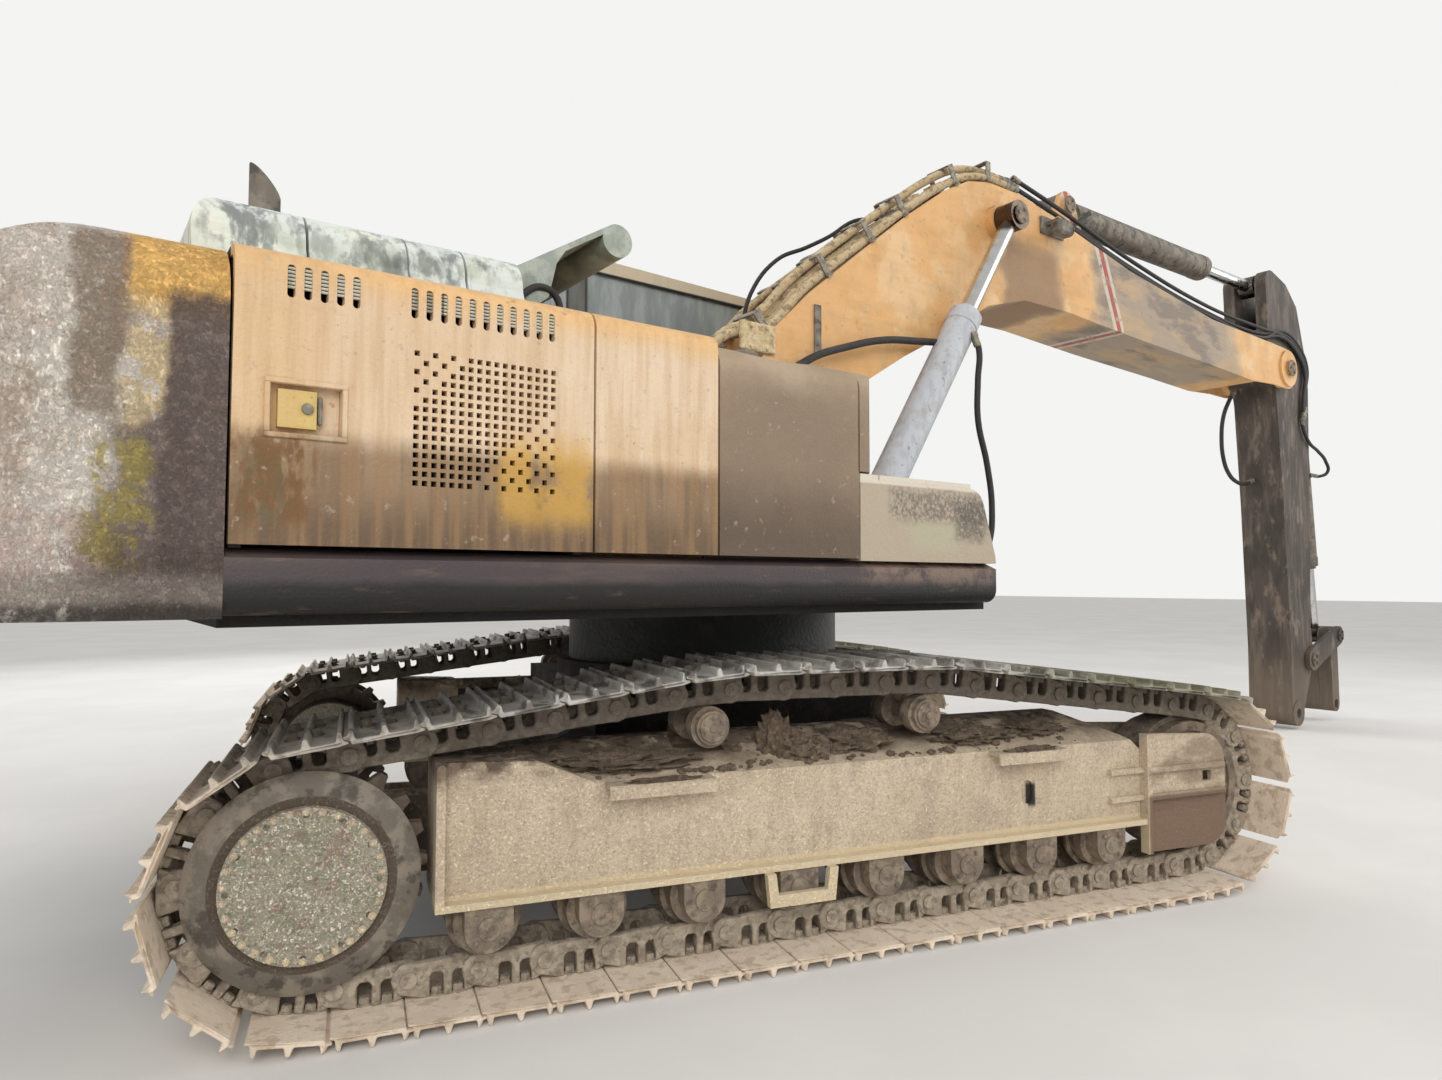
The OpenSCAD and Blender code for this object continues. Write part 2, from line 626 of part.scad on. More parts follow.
// Bulkheads before and behind the engine, and the fixed ledges beside the hood
house_z = deck_z - 60 + fit_gap;
module bulkhead_profile() {
    o = half_w - door_t - fit_gap;
    n = half_w - 88 - fit_gap;
    l = half_w - lip - door_gap;
    e = edge_r - door_t - 2;
    z1 = panel_top - door_t - fit_gap;
    polygon(concat([[-n, house_z], [n, house_z], [n, deck_z + fit_gap], [o, deck_z + fit_gap],
                    [o, panel_top - edge_r]],
        arc([half_w - edge_r, panel_top - edge_r], e, 0, 90, 6), [[l, panel_top - edge_r + e], [l, z1],
        [-l, z1], [-l, panel_top - edge_r + e]],
        arc([-half_w + edge_r, panel_top - edge_r], e, 90, 180, 6), [[-o, panel_top - edge_r],
        [-o, deck_z + fit_gap], [-n, deck_z + fit_gap]]));
}
// Closing plate inside an end of the hood
module hood_plate(z0) {
    polygon(concat([[-hood_half + door_t + fit_gap, z0], [hood_half - door_t - fit_gap, z0]],
                   hood_arcs(door_t + fit_gap)));
}
bay_y = 620;
bay_cover = [-1000, cab_rear - 60, cab_rear + 90];
module house_frame() {
    top0 = panel_top - door_t;
    color("#5a4c3a") {
        along(house_rear + 12, house_rear + 40) bulkhead_profile();
        along(hood_rear + cap_edge, hood_rear + cap_edge + 26) hood_plate(panel_top - 50);
        along(door_front - 50, door_front - 24) bulkhead_profile();
        along(hood_front - 40, hood_front - 14) hood_plate(panel_top - 50);
        // Sills that tie the hood's two end plates to the bulkheads
        for (x = [[house_rear + 39, hood_rear + cap_edge + 1], [hood_front - 15, door_front - 49]])
            block(x[0], x[1], -hood_half + door_t + fit_gap, hood_half - door_t - fit_gap, panel_top - 50,
                  panel_top - door_t - 1);
        // Ledges between the doors' top edges and the hood
        for (s = [-1, 1]) {
            y = s*(half_w - lip - door_gap);
            e = s*(half_w - ledge);
            block(house_rear + 8, s > 0 ? cab_rear - 60 : door_front, min(y, e), max(y, e), top0, panel_top);
        }
        // Wall between the valve bay and the left side bay, the side bay's roof and its front post
        block(door_front - 24 + fit_gap, cab_rear - 60, bay_y, bay_y + 20, house_z, panel_top);
        block(door_front - 24 + fit_gap, cab_rear - 60, bay_y + 19, half_w - ledge + 1, top0, panel_top);
        block(cab_rear - 90, cab_rear - 60, bay_y + 19, half_w - door_t - fit_gap, deck_z + fit_gap,
              panel_top - edge_r);
        // Cover over the bay behind the boom's foot
        block(bay_cover[0], bay_cover[1], -bay_y + fit_gap, bay_y + 1, panel_top - 40, panel_top - 12);
        block(bay_cover[1] - 1, bay_cover[2], -bay_y + fit_gap, cab_y0 - 15, panel_top - 40, panel_top - 12);
    }
}
box_bend = box_front - 162;
box_w = 560;
module tool_box() {
    x0 = fuel_front + 6;
    top = deck_z + box_h;
    color("#9a8559") difference() {
        across(-half_w, -half_w + box_w) polygon(concat([[x0, deck_z], [box_front, deck_z], [box_front - 3, deck_z + 30]],
            arc([box_bend, top - 90], 90, 18, 90, 6),
            [[nose_x, top], [nose_x, top + lid_t], [x0, top + lid_t]]));
        across(-half_w + 22, -half_w + box_w - 22)
            polygon([[x0 + 22, deck_z + 22], [box_front - 50, deck_z + 22], [box_bend - 20, top - 60],
                     [box_bend - 20, top + 1], [nose_x + 30, top + 1], [nose_x + 30, top - 30], [x0 + 22, top - 30]]);
    }
}
module tool_box_lid() {
    color("#8f7c58") block(nose_x + door_gap, box_bend, -half_w, -half_w + box_w,
                           deck_z + box_h + fit_gap, deck_z + box_h + lid_t);
}

// Right rear door: slots along its top, a square-hole grille and a latch recess
slot_w = 19;
slot_h = 84;
slot_z = deck_z + 634;
grille_x = door_front - 134;
grille_z = deck_z + 182;
module slot_holes(x, n, pitch) {
    for (i = [0:n - 1]) translate([x + i*pitch, slot_z]) {
        translate([-slot_w/2, 0]) square([slot_w, slot_h - slot_w]);
        circle(r = slot_w/2, $fn = 16);
        translate([0, slot_h - slot_w]) circle(r = slot_w/2, $fn = 16);
    }
}
module door_plate(side, x0, x1, full) {
    zs = deck_z + door_gap;
    y0 = side > 0 ? half_w - door_t : -half_w;
    difference() {
        union() {
            across(y0, y0 + door_t) translate([x0, zs]) square([x1 - x0, panel_top - edge_r - zs]);
            // Rolled top edge
            along(x0, x1) intersection() {
                panel_profile(side);
                translate([-half_w - 1, panel_top - edge_r]) square([house_w + 2, edge_r + 1]);
            }
        }
        if (full) across(y0 - 1, y0 + door_t + 6) {
            slot_holes(house_rear + 134, 5, 39);
            slot_holes(door_front - 542, 11, 40.2);
            for (c = [0:grille_cols - 1]) for (r = [0:grille_rows - 1])
                if ((c + r) % 2 == 0 || (c + r >= 6 && c + r <= 20))
                    translate([grille_x - (grille_cols - 1 - c)*grille_pitch - grille_hole/2,
                               grille_z + (grille_rows - 1 - r)*grille_pitch - grille_hole/2])
                        square(grille_hole);
            translate([house_rear + 91, deck_z + 285]) square([168, 122]);
        }
    }
}
module rear_door_right() {
    color("#a8905a") {
        door_plate(-1, house_rear + door_gap, door_front, true);
        // Latch pan and paddle
        block(house_rear + 92, house_rear + 258, -half_w + door_t - 2, -half_w + door_t + 8,
              deck_z + 270, deck_z + 420);
        block(house_rear + 110, house_rear + 200, -half_w + 6, -half_w + door_t, deck_z + 300, deck_z + 395);
    }
}
module rear_door_left() {
    color("#a8905a") door_plate(1, house_rear + door_gap, door_front, false);
}
module front_door_left() {
    color("#a8905a") door_plate(1, door_front + door_gap, cab_rear - 60, false);
}

// Engine hood: fixed centre section with rounded shoulders, and the lifting lid over the engine
hood_r = 130;
hood_half = half_w - ledge - door_gap;
hood_lean = 60;
hood_rear = house_rear - 55;
hood_cap = house_rear + 230;
hood_split = hood_front - 195;
cap_edge = 110;
function hood_arcs(t) = concat(
    arc([hood_half - hood_r - hood_lean, hood_top - hood_r], hood_r - t, 0, 90, 8),
    arc([-hood_half + hood_r + hood_lean, hood_top - hood_r], hood_r - t, 90, 180, 8));
function hood_outline(t, z) = concat([[-hood_half + t, z], [hood_half - t, z]], hood_arcs(t));
module hood_profile(t) {
    difference() {
        polygon(hood_outline(0, panel_top - 20));
        polygon(hood_outline(t, panel_top - 21));
    }
}
// Rear end of the hood, rounded over and standing out above the counterweight
module hood_end(t) {
    intersection() {
        along(hood_rear, hood_cap + 1) polygon(hood_outline(t, panel_top - 21));
        across(-hood_half, hood_half) polygon(concat([[hood_cap + (t > 0 ? 1 : 0), panel_top - 20 - t],
            [hood_cap + (t > 0 ? 1 : 0), hood_top + 1]],
            arc([hood_rear + cap_edge, hood_top - cap_edge], cap_edge - t, 90, 180, 6),
            [[hood_rear + t, panel_top + door_gap - t], [house_rear + 10 + t, panel_top + door_gap - t],
             [house_rear + 10 + t, panel_top - 20 - t]]));
    }
}
module engine_hood() {
    color("#c3c1ba") {
        difference() {
            hood_end(0);
            hood_end(door_t);
        }
        along(hood_split + door_gap, hood_front) hood_profile(door_t);
    }
}
hinge_r = 16;
module hood_lid() {
    color("#c8c6bf") {
        along(hood_cap + door_gap, hood_split) hood_profile(door_t);
        for (s = [-1, 1])
            pin_across([hood_cap + hinge_r + fit_gap, hood_top], hinge_r, s*500 - 60, s*500 + 60);
    }
}

// Front hood lid over the valves, propped open on its rear hinge, with a rolled front end
front_lid_open = 32;
front_lid_len = 490;
front_lid_y = [-1000, 480];
front_roll_r = 62;
front_sheet = 20;
front_flap = [[10, -2], [10, -150], [112, -140], [165, -88], [205, -48], [250, -front_sheet - 6],
              [300, -2]];
module front_hood_lid() {
    k = hinge_r;
    y0 = front_lid_y[0];
    y1 = front_lid_y[1];
    color("#cfcdc6") translate([hood_front + k, 0, hood_top - 4 - k]) rotate([0, -front_lid_open, 0]) {
        pin_across([0, 0], k, y0, y1);
        translate([0, 0, k]) {
            across(y0, y1) polygon([[0, 0], [front_lid_len, 0], [front_lid_len, -front_sheet], [0, -front_sheet]]);
            pin_across([front_lid_len, -front_roll_r], front_roll_r, y0, y1);
            for (y = [y0, y1 - front_sheet]) across(y, y + front_sheet) polygon(front_flap);
        }
    }
}

// Cab: hollow shell with its windows cut through
cab_floor = deck_z;
cab_side = [[cab_rear, cab_floor], [cab_rear + cab_len, cab_floor], [cab_rear + cab_len + 30, 1900],
            [cab_rear + cab_len - 60, 2560], [cab_rear + cab_len - 250, cab_top - 108],
            [cab_rear + cab_len - 370, cab_top - 42], [cab_rear + 60, cab_top], [cab_rear, cab_top - 56]];
cab_hole = inset(cab_side, cab_t);
// Big right window, rear left window, door opening and the back window's width
win_side = [[cab_rear + 72, 1960], [cab_rear + cab_len - 92, 1960], [cab_rear + cab_len - 126, 2510],
            [cab_rear + cab_len - 320, cab_top - 128], [cab_rear + cab_len - 400, cab_top - 98],
            [cab_rear + 72, cab_top - 82]];
win_left = [[cab_rear + 100, 2060], [cab_rear + 640, 2060], [cab_rear + 640, 2990], [cab_rear + 100, 2990]];
door_x0 = cab_rear + 720;
door_x1 = cab_rear + cab_len - 80;
door_hole = [[door_x0, 1500], [door_x1, 1500], [door_x1 + 10, 1900], [door_x1 - 60, 2520],
             [door_x1 - 270, 3000], [door_x0, 3000]];
back_y = [cab_y0 + 80, cab_y1 - 80];
back_z = [2240, cab_top - 110];
front_y = [cab_y0 + 110, cab_y1 - 110];
front_z = [1960, 2890];
module cab_shell() {
    color("#8f8573") difference() {
        across(cab_y0, cab_y1) polygon(cab_side);
        across(cab_y0 + cab_t, cab_y1 - cab_t) polygon(cab_hole);
        across(cab_y0 - 1, cab_y0 + cab_t + 1) polygon(win_side);
        across(cab_y1 - cab_t - 1, cab_y1 + 1) polygon(win_left);
        across(cab_y1 - cab_t - 1, cab_y1 + 1) polygon(door_hole);
        block(cab_rear - 1, cab_rear + cab_t + 1, back_y[0], back_y[1], back_z[0], back_z[1]);
        block(cab_rear + cab_len - 300, cab_rear + cab_len + 60, front_y[0], front_y[1], front_z[0], front_z[1]);
    }
}
module cab_glass() {
    m = cab_t/2;
    h = glass_t/2;
    g = 0.5;
    color([0.12, 0.14, 0.15, 0.6]) {
        across(cab_y0 + m - h, cab_y0 + m + h) polygon(inset(win_side, g));
        across(cab_y1 - m - h, cab_y1 - m + h) polygon(inset(win_left, g));
        block(cab_rear + m - h, cab_rear + m + h, back_y[0] + g, back_y[1] - g, back_z[0] + g, back_z[1] - g);
        across(front_y[0] + g, front_y[1] - g) intersection() {
            difference() {
                polygon(inset(cab_side, m - h));
                polygon(inset(cab_side, m + h));
            }
            translate([cab_rear + cab_len - 280, front_z[0] + g]) square([400, front_z[1] - front_z[0] - 2*g]);
        }
    }
}
module cab_door() {
    hole = inset(door_hole, door_gap);
    frame = inset(door_hole, 90);
    color("#8f8573") difference() {
        across(cab_y1 - cab_t + 2, cab_y1) polygon(hole);
        across(cab_y1 - cab_t, cab_y1 + 1) difference() {
            polygon(frame);
            square([6000, 3900], center = true);
        }
    }
    color("#4a443c") for (z = [1620, 2260, 2860]) {
        translate([door_x0 - 4, cab_y1 + 12 + fit_gap, z]) cylinder(r = 12, h = 90);
        block(door_x0 - 4, door_x0 + 70, cab_y1 + fit_gap, cab_y1 + 8, z, z + 90);
        block(door_x0 + 10, door_x0 + 70, cab_y1 - 1, cab_y1 + fit_gap + 1, z, z + 90);
    }
    color([0.12, 0.14, 0.15, 0.6]) across(cab_y1 - cab_t/2 - glass_t/2, cab_y1 - cab_t/2 + glass_t/2)
        difference() {
            polygon(inset(door_hole, 88));
            square([6000, 3896], center = true);
        }
}
seat_x = cab_rear + 620;
seat_y = (cab_y0 + cab_y1)/2;
module operator_seat() {
    color("#2c2b2a") {
        block(seat_x - 200, seat_x + 260, seat_y - 230, seat_y + 230, cab_floor + cab_t + fit_gap, 1800);
        block(seat_x - 250, seat_x + 290, seat_y - 260, seat_y + 260, 1800 - 1, 1920);
        across(seat_y - 250, seat_y + 250)
            polygon([[seat_x - 250, 1900], [seat_x - 130, 1900], [seat_x - 210, 2560],
                     [seat_x - 300, 2560]]);
    }
}
module control_stands() {
    color("#3a3835") for (s = [-1, 1])
        block(seat_x - 160, seat_x + 300, seat_y + s*340 - 70, seat_y + s*340 + 70,
              cab_floor + cab_t + fit_gap, 1980);
}
// Control valve under the front lid, and the slewing motor behind the boom's foot
module deck_hydraulics() {
    plate_top = deck_bottom + 30 + fit_gap;
    color("#55524d") {
        block(-1390, -1010, -460, 460, house_z, 1760);
        for (y = [-380:95:380]) {
            pin_across([-1330, 1700], 30, y - 30, y + 30);
            translate([-1200, y, 1759]) cylinder(r = 34, h = 120);
        }
        block(-1390, -1010, -40, 40, 1759, 1830);
        translate([-700, 0, plate_top]) cylinder(r = 210, h = 330);
        translate([-700, 0, plate_top + 329]) cylinder(r = 150, h = 240);
    }
}

// Boom: box section with a fork at its tip
boom_top = [[foot_x - 30, foot_z + foot_r + 20], [foot_x + 170, foot_z + 860], [foot_x + 456, foot_z + 1130],
            [foot_x + 872, foot_z + 1462], [foot_x + 1220, foot_z + 1734], [foot_x + 1570, foot_z + 1980],
            [foot_x + 1800, foot_z + 2102], [foot_x + 2000, foot_z + 2148], [foot_x + 2310, foot_z + 2152],
            [foot_x + 2850, foot_z + 2068], [foot_x + 3680, foot_z + 1912], [tip_x - 1400, tip_z + 220],
            [tip_x - 300, tip_z + 195]];
boom_bottom = [[tip_x - 300, tip_z - 180], [tip_x - 700, tip_z - 200], [tip_x - 1400, tip_z - 170],
               [tip_x - 2520, tip_z - 135], [foot_x + 2900, foot_z + 1450], [foot_x + 2380, foot_z + 1444],
               [foot_x + 1984, foot_z + 1335], [foot_x + 1640, foot_z + 1120], [foot_x + 1200, foot_z + 890],
               [foot_x + 897, foot_z + 710], [foot_x + 510, foot_z + 440]];
function reversed(p) = [for (i = [len(p) - 1:-1:0]) p[i]];
boom_outline = concat(reversed(boom_top), arc(foot_pin, foot_r, 160, 320, 8),
                      reversed(boom_bottom), arc(tip_pin, tip_r, -95, 95, 10));
tip_pin_r = 60;
fork_x = tip_x - 610;
foot_fork_x = foot_x + 330;
module boom() {
    hw = boom_w/2;
    color("#b08a3c") pin_across(tip_pin, tip_pin_r, -hw - 36, hw + 36);
    color("#b08a3c") difference() {
        union() {
            for (s = [-1, 1]) across(s*(hw - plate_t/2) - plate_t/2, s*(hw - plate_t/2) + plate_t/2)
                polygon(boom_outline);
            // Flanges and end plates of the box
            across(-hw + 1, hw - 1) difference() {
                intersection() {
                    polygon(boom_outline);
                    translate([foot_fork_x, 0]) square([fork_x - foot_fork_x, 5000]);
                }
                intersection() {
                    polygon(inset(boom_outline, plate_t + 4));
                    translate([foot_fork_x + plate_t, 0])
                        square([fork_x - foot_fork_x - 2*plate_t, 5000]);
                }
            }
            // Foot tube, tip bosses and cylinder bosses
            pin_across(foot_pin, foot_r - 20, -foot_out + beam_web/2 + pin_clear, foot_out - beam_web/2 - pin_clear);
            for (s = [-1, 1]) {
                y0 = s > 0 ? arm_w/2 + 8 : -hw - 20;
                pin_across(tip_pin, tip_r - 20, y0, y0 + hw + 12 - arm_w/2);
                y1 = s > 0 ? hw - 1 : -boom_cyl_y + 66 + pin_clear;
                pin_across(boom_cyl_eye, 110, y1, y1 + boom_cyl_y - 66 - pin_clear - hw + 1);
            }
            // Ears of the arm cylinder
            for (s = [-1, 1]) across(s*102 - 16, s*102 + 16) polygon(concat(
                [arm_cyl_base + [-330, -290], arm_cyl_base + [300, -390]],
                arc(arm_cyl_base, 105, 10, 170, 8)));
            pin_across(arm_cyl_base, pin_r - fit_gap, -140, 140);
        }
        pin_across(foot_pin, 70 + eps + fit_gap, -foot_out, foot_out);
        pin_across(tip_pin, tip_pin_r - 1, -hw - 40, hw + 40);
    }
}
// Pipes that run along the top of the boom, clamped where the boom's top plate bends
pipe_r = 17;
pipe_lift = 42;
pipe_y = [-215, -175, 175, 215];
clamp_len = 56;
pipe_route = [for (i = [4:9]) boom_top[i] + [0, pipe_lift]];
module boom_pipes() {
    last = len(pipe_route) - 1;
    h = [for (i = [0:last - 1]) heading(pipe_route[i], pipe_route[i + 1])];
    color("#7d6d55") {
        for (y = pipe_y) for (i = [0:last - 1])
            translate([pipe_route[i][0], y, pipe_route[i][1]]) rotate([0, 90 - h[i], 0])
                cylinder(r = pipe_r, h = norm(pipe_route[i + 1] - pipe_route[i]));
        for (i = [0:last]) {
            a = (h[max(i - 1, 0)] + h[min(i, last - 1)])/2;
            foot = pipe_lift*cos(a) - fit_gap;
            for (side = [-1, 1]) translate([pipe_route[i][0], side*195, pipe_route[i][1]])
                rotate([0, -a, 0]) translate([-clamp_len/2, -52, -foot]) cube([clamp_len, 104, foot + pipe_r + 6]);
        }
    }
}

// Cylinders, built between their two pins
neck = 190;
module barrel(base, eye, r, reach, half) {
    h = heading(base, eye);
    difference() {
        union() {
            pin_across(base, r*0.95, -half, half);
            translate([base[0], 0, base[1]]) rotate([0, 90 - h, 0]) {
                translate([-r*0.6, -half + 4, 0]) cube([r*1.2, 2*half - 8, neck + 20]);
                translate([0, 0, neck]) cylinder(r = r, h = reach - neck);
                translate([0, 0, reach - 90]) cylinder(r = r + 4, h = 90);
                translate([0, 0, reach]) cylinder(r = r - 18, h = 26);
            }
        }
        pin_across(base, pin_r, -half - 1, half + 1);
        translate([base[0], 0, base[1]]) rotate([0, 90 - h, 0])
            translate([0, 0, neck + 60]) cylinder(r = rod_r + 0.05, h = reach);
    }
}
module rod(base, eye, r, reach, stroke, half) {
    h = heading(base, eye);
    l = norm(eye - base);
    from = reach - 120 - stroke;
    translate([base[0], 0, base[1]]) rotate([0, 90 - h, 0])
        translate([0, 0, from]) cylinder(r = rod_r, h = l - from - r*0.7);
    pin_across(eye, r*0.95, -half, half);
}
boom_reach = 1780;
module boom_barrel(y) {
    color("#a7a299") translate([0, y, 0]) barrel(boom_cyl_base, boom_cyl_eye, boom_barrel_r, boom_reach, 66);
}
module boom_rod(y) {
    color("#c9c7c2") translate([0, y, 0]) {
        rod(boom_cyl_base, boom_cyl_eye, boom_barrel_r, boom_reach, 620, 66);
    }
}
module boom_barrel_left() { boom_barrel(boom_cyl_y); }
module boom_barrel_right() { boom_barrel(-boom_cyl_y); }
module boom_rod_left() { boom_rod(boom_cyl_y); }
module boom_rod_right() { boom_rod(-boom_cyl_y); }
arm_reach = 2200;
bucket_reach = 1880;
module arm_barrel() {
    color("#8f8a80") barrel(arm_cyl_base, arm_cyl_eye, arm_barrel_r, arm_reach, 80);
}
module arm_rod() {
    color("#c9c7c2") rod(arm_cyl_base, arm_cyl_eye, arm_barrel_r, arm_reach, 560, 66);
}
module bucket_barrel() {
    color("#6d675e") barrel(bucket_cyl_base, link_pin, bucket_barrel_r, bucket_reach, 66);
}
module bucket_rod() {
    color("#c9c7c2") rod(bucket_cyl_base, link_pin, bucket_barrel_r, bucket_reach, 420, 58);
}

// Arm: box section with ears for the two cylinders
arm_outline = concat(
    arc(bucket_pin, arm_tip_r, 190, 350, 8),
    [rocker_pin + [60, -90], rocker_pin + [100, 60], rocker_pin + [60, 300], tip_pin + [640, -1210],
     tip_pin + [675, -90], tip_pin + [610, 260], tip_pin + [460, 680], tip_pin + [240, 860]],
    arc(arm_cyl_eye, 115, 75, 190, 6),
    arc(tip_pin, 150, 165, 250, 5),
    [tip_pin + [-15, -280], tip_pin + [70, -1232], bucket_pin + [-115, 610]]);
module arm() {
    hw = arm_w/2;
    color("#4d443b") difference() {
        union() {
            for (s = [-1, 1]) across(s*(hw - plate_t/2) - plate_t/2, s*(hw - plate_t/2) + plate_t/2)
                polygon(arm_outline);
            difference() {
                across(-hw + 1, hw - 1) difference() {
                    polygon(arm_outline);
                    polygon(inset(arm_outline, plate_t + 2));
                }
                // Open slot between the ears of the arm cylinder
                across(-92, 92) translate(arm_cyl_eye) circle(r = 450);
            }
            for (s = [-1, 1]) across(s*105 - 12, s*105 + 12) intersection() {
                polygon(arm_outline);
                translate(arm_cyl_eye) circle(r = 480);
            }
            pin_across(tip_pin, 130, -hw - 3, hw + 3);
            pin_across(rocker_pin, 90, -hw - 2, hw + 2);
            pin_across(bucket_pin, arm_tip_r, -hw - 8, hw + 8);
            // Ears of the bucket cylinder
            for (s = [-1, 1]) across(s*86 - 15, s*86 + 15) polygon(concat(
                [tip_pin + [620, 160], tip_pin + [668, -50]], arc(bucket_cyl_base, 100, -70, 70, 8)));
            pin_across(bucket_cyl_base, pin_r - fit_gap, -101, 101);
        }
        pin_across(bucket_pin, bucket_bore_r, -hw - 9, hw + 9);
        pin_across(tip_pin, tip_pin_r + fit_gap, -hw - 9, hw + 9);
        pin_across(rocker_pin, pin_r + fit_gap, -hw - 9, hw + 9);
    }
}
module rocker_links() {
    y0 = arm_w/2 + 2 + pin_clear;
    color("#5b5147") {
        for (s = [-1, 1]) across(s > 0 ? y0 : -y0 - rocker_t, s > 0 ? y0 + rocker_t : -y0)
            polygon(strap(rocker_pin, 105, link_pin, 88));
        pin_across(rocker_pin, pin_r, -y0 - 1, y0 + 1);
        for (s = [-1, 1]) pin_across(link_pin, pin_r - fit_gap, s > 0 ? 68 : -y0 - 1, s > 0 ? y0 + 1 : -68);
    }
}
module bucket_link() {
    color("#5b5147") difference() {
        union() {
            for (s = [-1, 1]) across(s > 0 ? 66 : -180, s > 0 ? 180 : -66)
                polygon(strap(link_pin, 84, bucket_link_pin, 76));
            across(-67, 67) polygon(strap(bucket_link_pin, 76, bucket_link_pin + [-14, 350], 62));
        }
        pin_across(link_pin, pin_r, -181, 181);
        pin_across(bucket_link_pin, bucket_bore_r, -181, 181);
    }
}

track_left();
track_right();
side_frames();
carbody();
sprockets();
final_drives();
idlers();
bottom_rollers();
carrier_rollers();
roller_guards();
swing_bearing();
deck();
side_skirts();
counterweight();
engine();
hydraulic_tank();
fuel_tank();
house_frame();
tool_box();
tool_box_lid();
rear_door_right();
rear_door_left();
front_door_left();
engine_hood();
hood_lid();
front_hood_lid();
cab_shell();
cab_glass();
cab_door();
operator_seat();
control_stands();
deck_hydraulics();
boom();
boom_pipes();
boom_barrel_left();
boom_rod_left();
boom_barrel_right();
boom_rod_right();
arm();
arm_barrel();
arm_rod();
bucket_barrel();
bucket_rod();
rocker_links();
bucket_link();
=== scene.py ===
"""Looks of a worn crawler excavator: finishes, track chains, hoses, dirt and small fittings.

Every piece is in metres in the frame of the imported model: +X forward, +Y left, +Z up.
"""

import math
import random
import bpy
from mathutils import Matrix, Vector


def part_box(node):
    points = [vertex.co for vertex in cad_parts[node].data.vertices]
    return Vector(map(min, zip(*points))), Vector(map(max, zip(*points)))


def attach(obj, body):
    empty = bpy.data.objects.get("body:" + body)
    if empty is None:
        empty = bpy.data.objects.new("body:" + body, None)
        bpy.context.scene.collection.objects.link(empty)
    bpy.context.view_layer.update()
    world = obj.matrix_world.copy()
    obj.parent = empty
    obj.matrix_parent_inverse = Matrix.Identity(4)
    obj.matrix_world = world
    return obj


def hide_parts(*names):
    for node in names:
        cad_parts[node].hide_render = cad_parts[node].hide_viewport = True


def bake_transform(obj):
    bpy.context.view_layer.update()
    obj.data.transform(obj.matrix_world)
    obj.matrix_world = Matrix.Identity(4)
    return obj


bl_info = {
    "name": "Crawler Excavator Looks",
    "version": (1, 0, 0),
    "blender": (4, 5, 0),
    "location": "View3D > Sidebar > Excavator",
    "description": "Weathered finishes, track chains, hoses and fittings of a crawler excavator",
    "category": "Object",
}

import bpy
from bpy.props import FloatProperty, FloatVectorProperty, IntProperty, PointerProperty
from mathutils import Matrix, Vector, noise

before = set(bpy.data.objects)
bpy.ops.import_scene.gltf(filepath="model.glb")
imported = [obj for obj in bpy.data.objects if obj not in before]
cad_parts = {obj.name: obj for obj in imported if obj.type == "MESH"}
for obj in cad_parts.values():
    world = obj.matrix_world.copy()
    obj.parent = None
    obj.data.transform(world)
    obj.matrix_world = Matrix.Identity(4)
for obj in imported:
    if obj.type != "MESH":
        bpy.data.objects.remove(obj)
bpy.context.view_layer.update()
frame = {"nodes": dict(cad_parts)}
NODES = frame["nodes"]
SEED = 7
SIDES = ((-1, "right"), (1, "left"))

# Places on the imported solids, in metres
PANEL_Y = 1.5
FRONT_CARRIER, REAR_CARRIER = 0.4, -0.505
# The line of the boom's top plate, from its foot to its tip, as (x, z)
BOOM_TOP = ((0.22, 2.66), (0.506, 2.93), (0.922, 3.262), (1.27, 3.534), (1.62, 3.78), (1.85, 3.902),
            (2.05, 3.948), (2.36, 3.952), (2.9, 3.868), (3.73, 3.712), (5.0, 3.56), (6.0, 3.537))


def tint(code):
    """Linear colour of an sRGB hex code."""
    parts = [int(code[i:i + 2], 16) / 255 for i in (1, 3, 5)]
    return [p / 12.92 if p <= 0.04045 else ((p + 0.055) / 1.055) ** 2.4 for p in parts] + [1.0]


# Sizes and colours that a user may change


def length(name, about, default):
    return FloatProperty(name=name, description=about, default=default, unit="LENGTH")


def colour(name, about, code):
    return FloatVectorProperty(name=name, description=about, subtype="COLOR", size=4, default=tint(code))


class TrackSizes(bpy.types.PropertyGroup):
    """Sizes of the track chains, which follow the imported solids."""

    slew: FloatProperty(name="Slew", description="Turn of the tracks under the upper structure",
                        default=math.radians(14.5), unit="ROTATION")
    wheelbase: length("Wheelbase", "Sprocket centre to idler centre", 3.64)
    gauge: length("Gauge", "Distance between the track centre lines", 2.59)
    wheel_z: length("Wheel height", "Height of the sprocket and idler centres", 0.452)
    pin_circle: length("Pin circle", "Radius of the link pins round a sprocket", 0.346)
    carrier_z: length("Carrier height", "Height of the link pins over the carriers", 0.97)
    shoe_width: length("Shoe width", "Width of a track shoe", 0.6)
    shoe_count: IntProperty(name="Shoes", description="Number of shoes in one track", default=44)
    plate: length("Plate", "Thickness of a shoe plate", 0.014)
    grouser: length("Grouser", "Height of a grouser bar", 0.026)
    link_out: length("Link seat", "Height from a link pin to the shoe", 0.064)
    link_in: length("Link rail", "Height from a link pin to the rail face", 0.048)
    rail_gap: length("Rail gap", "Distance between the two rails", 0.19)
    link_thick: length("Link thickness", "Thickness of a link", 0.046)


class HoseSizes(bpy.types.PropertyGroup):
    """Outer diameters of the hydraulic hoses."""

    wrapped: length("Wrapped hose", "Boom hoses in their torn sleeves", 0.05)
    large: length("Large hose", "Hoses of the boom and arm cylinders", 0.036)
    small: length("Small hose", "Hoses that run on to the bucket cylinder", 0.03)


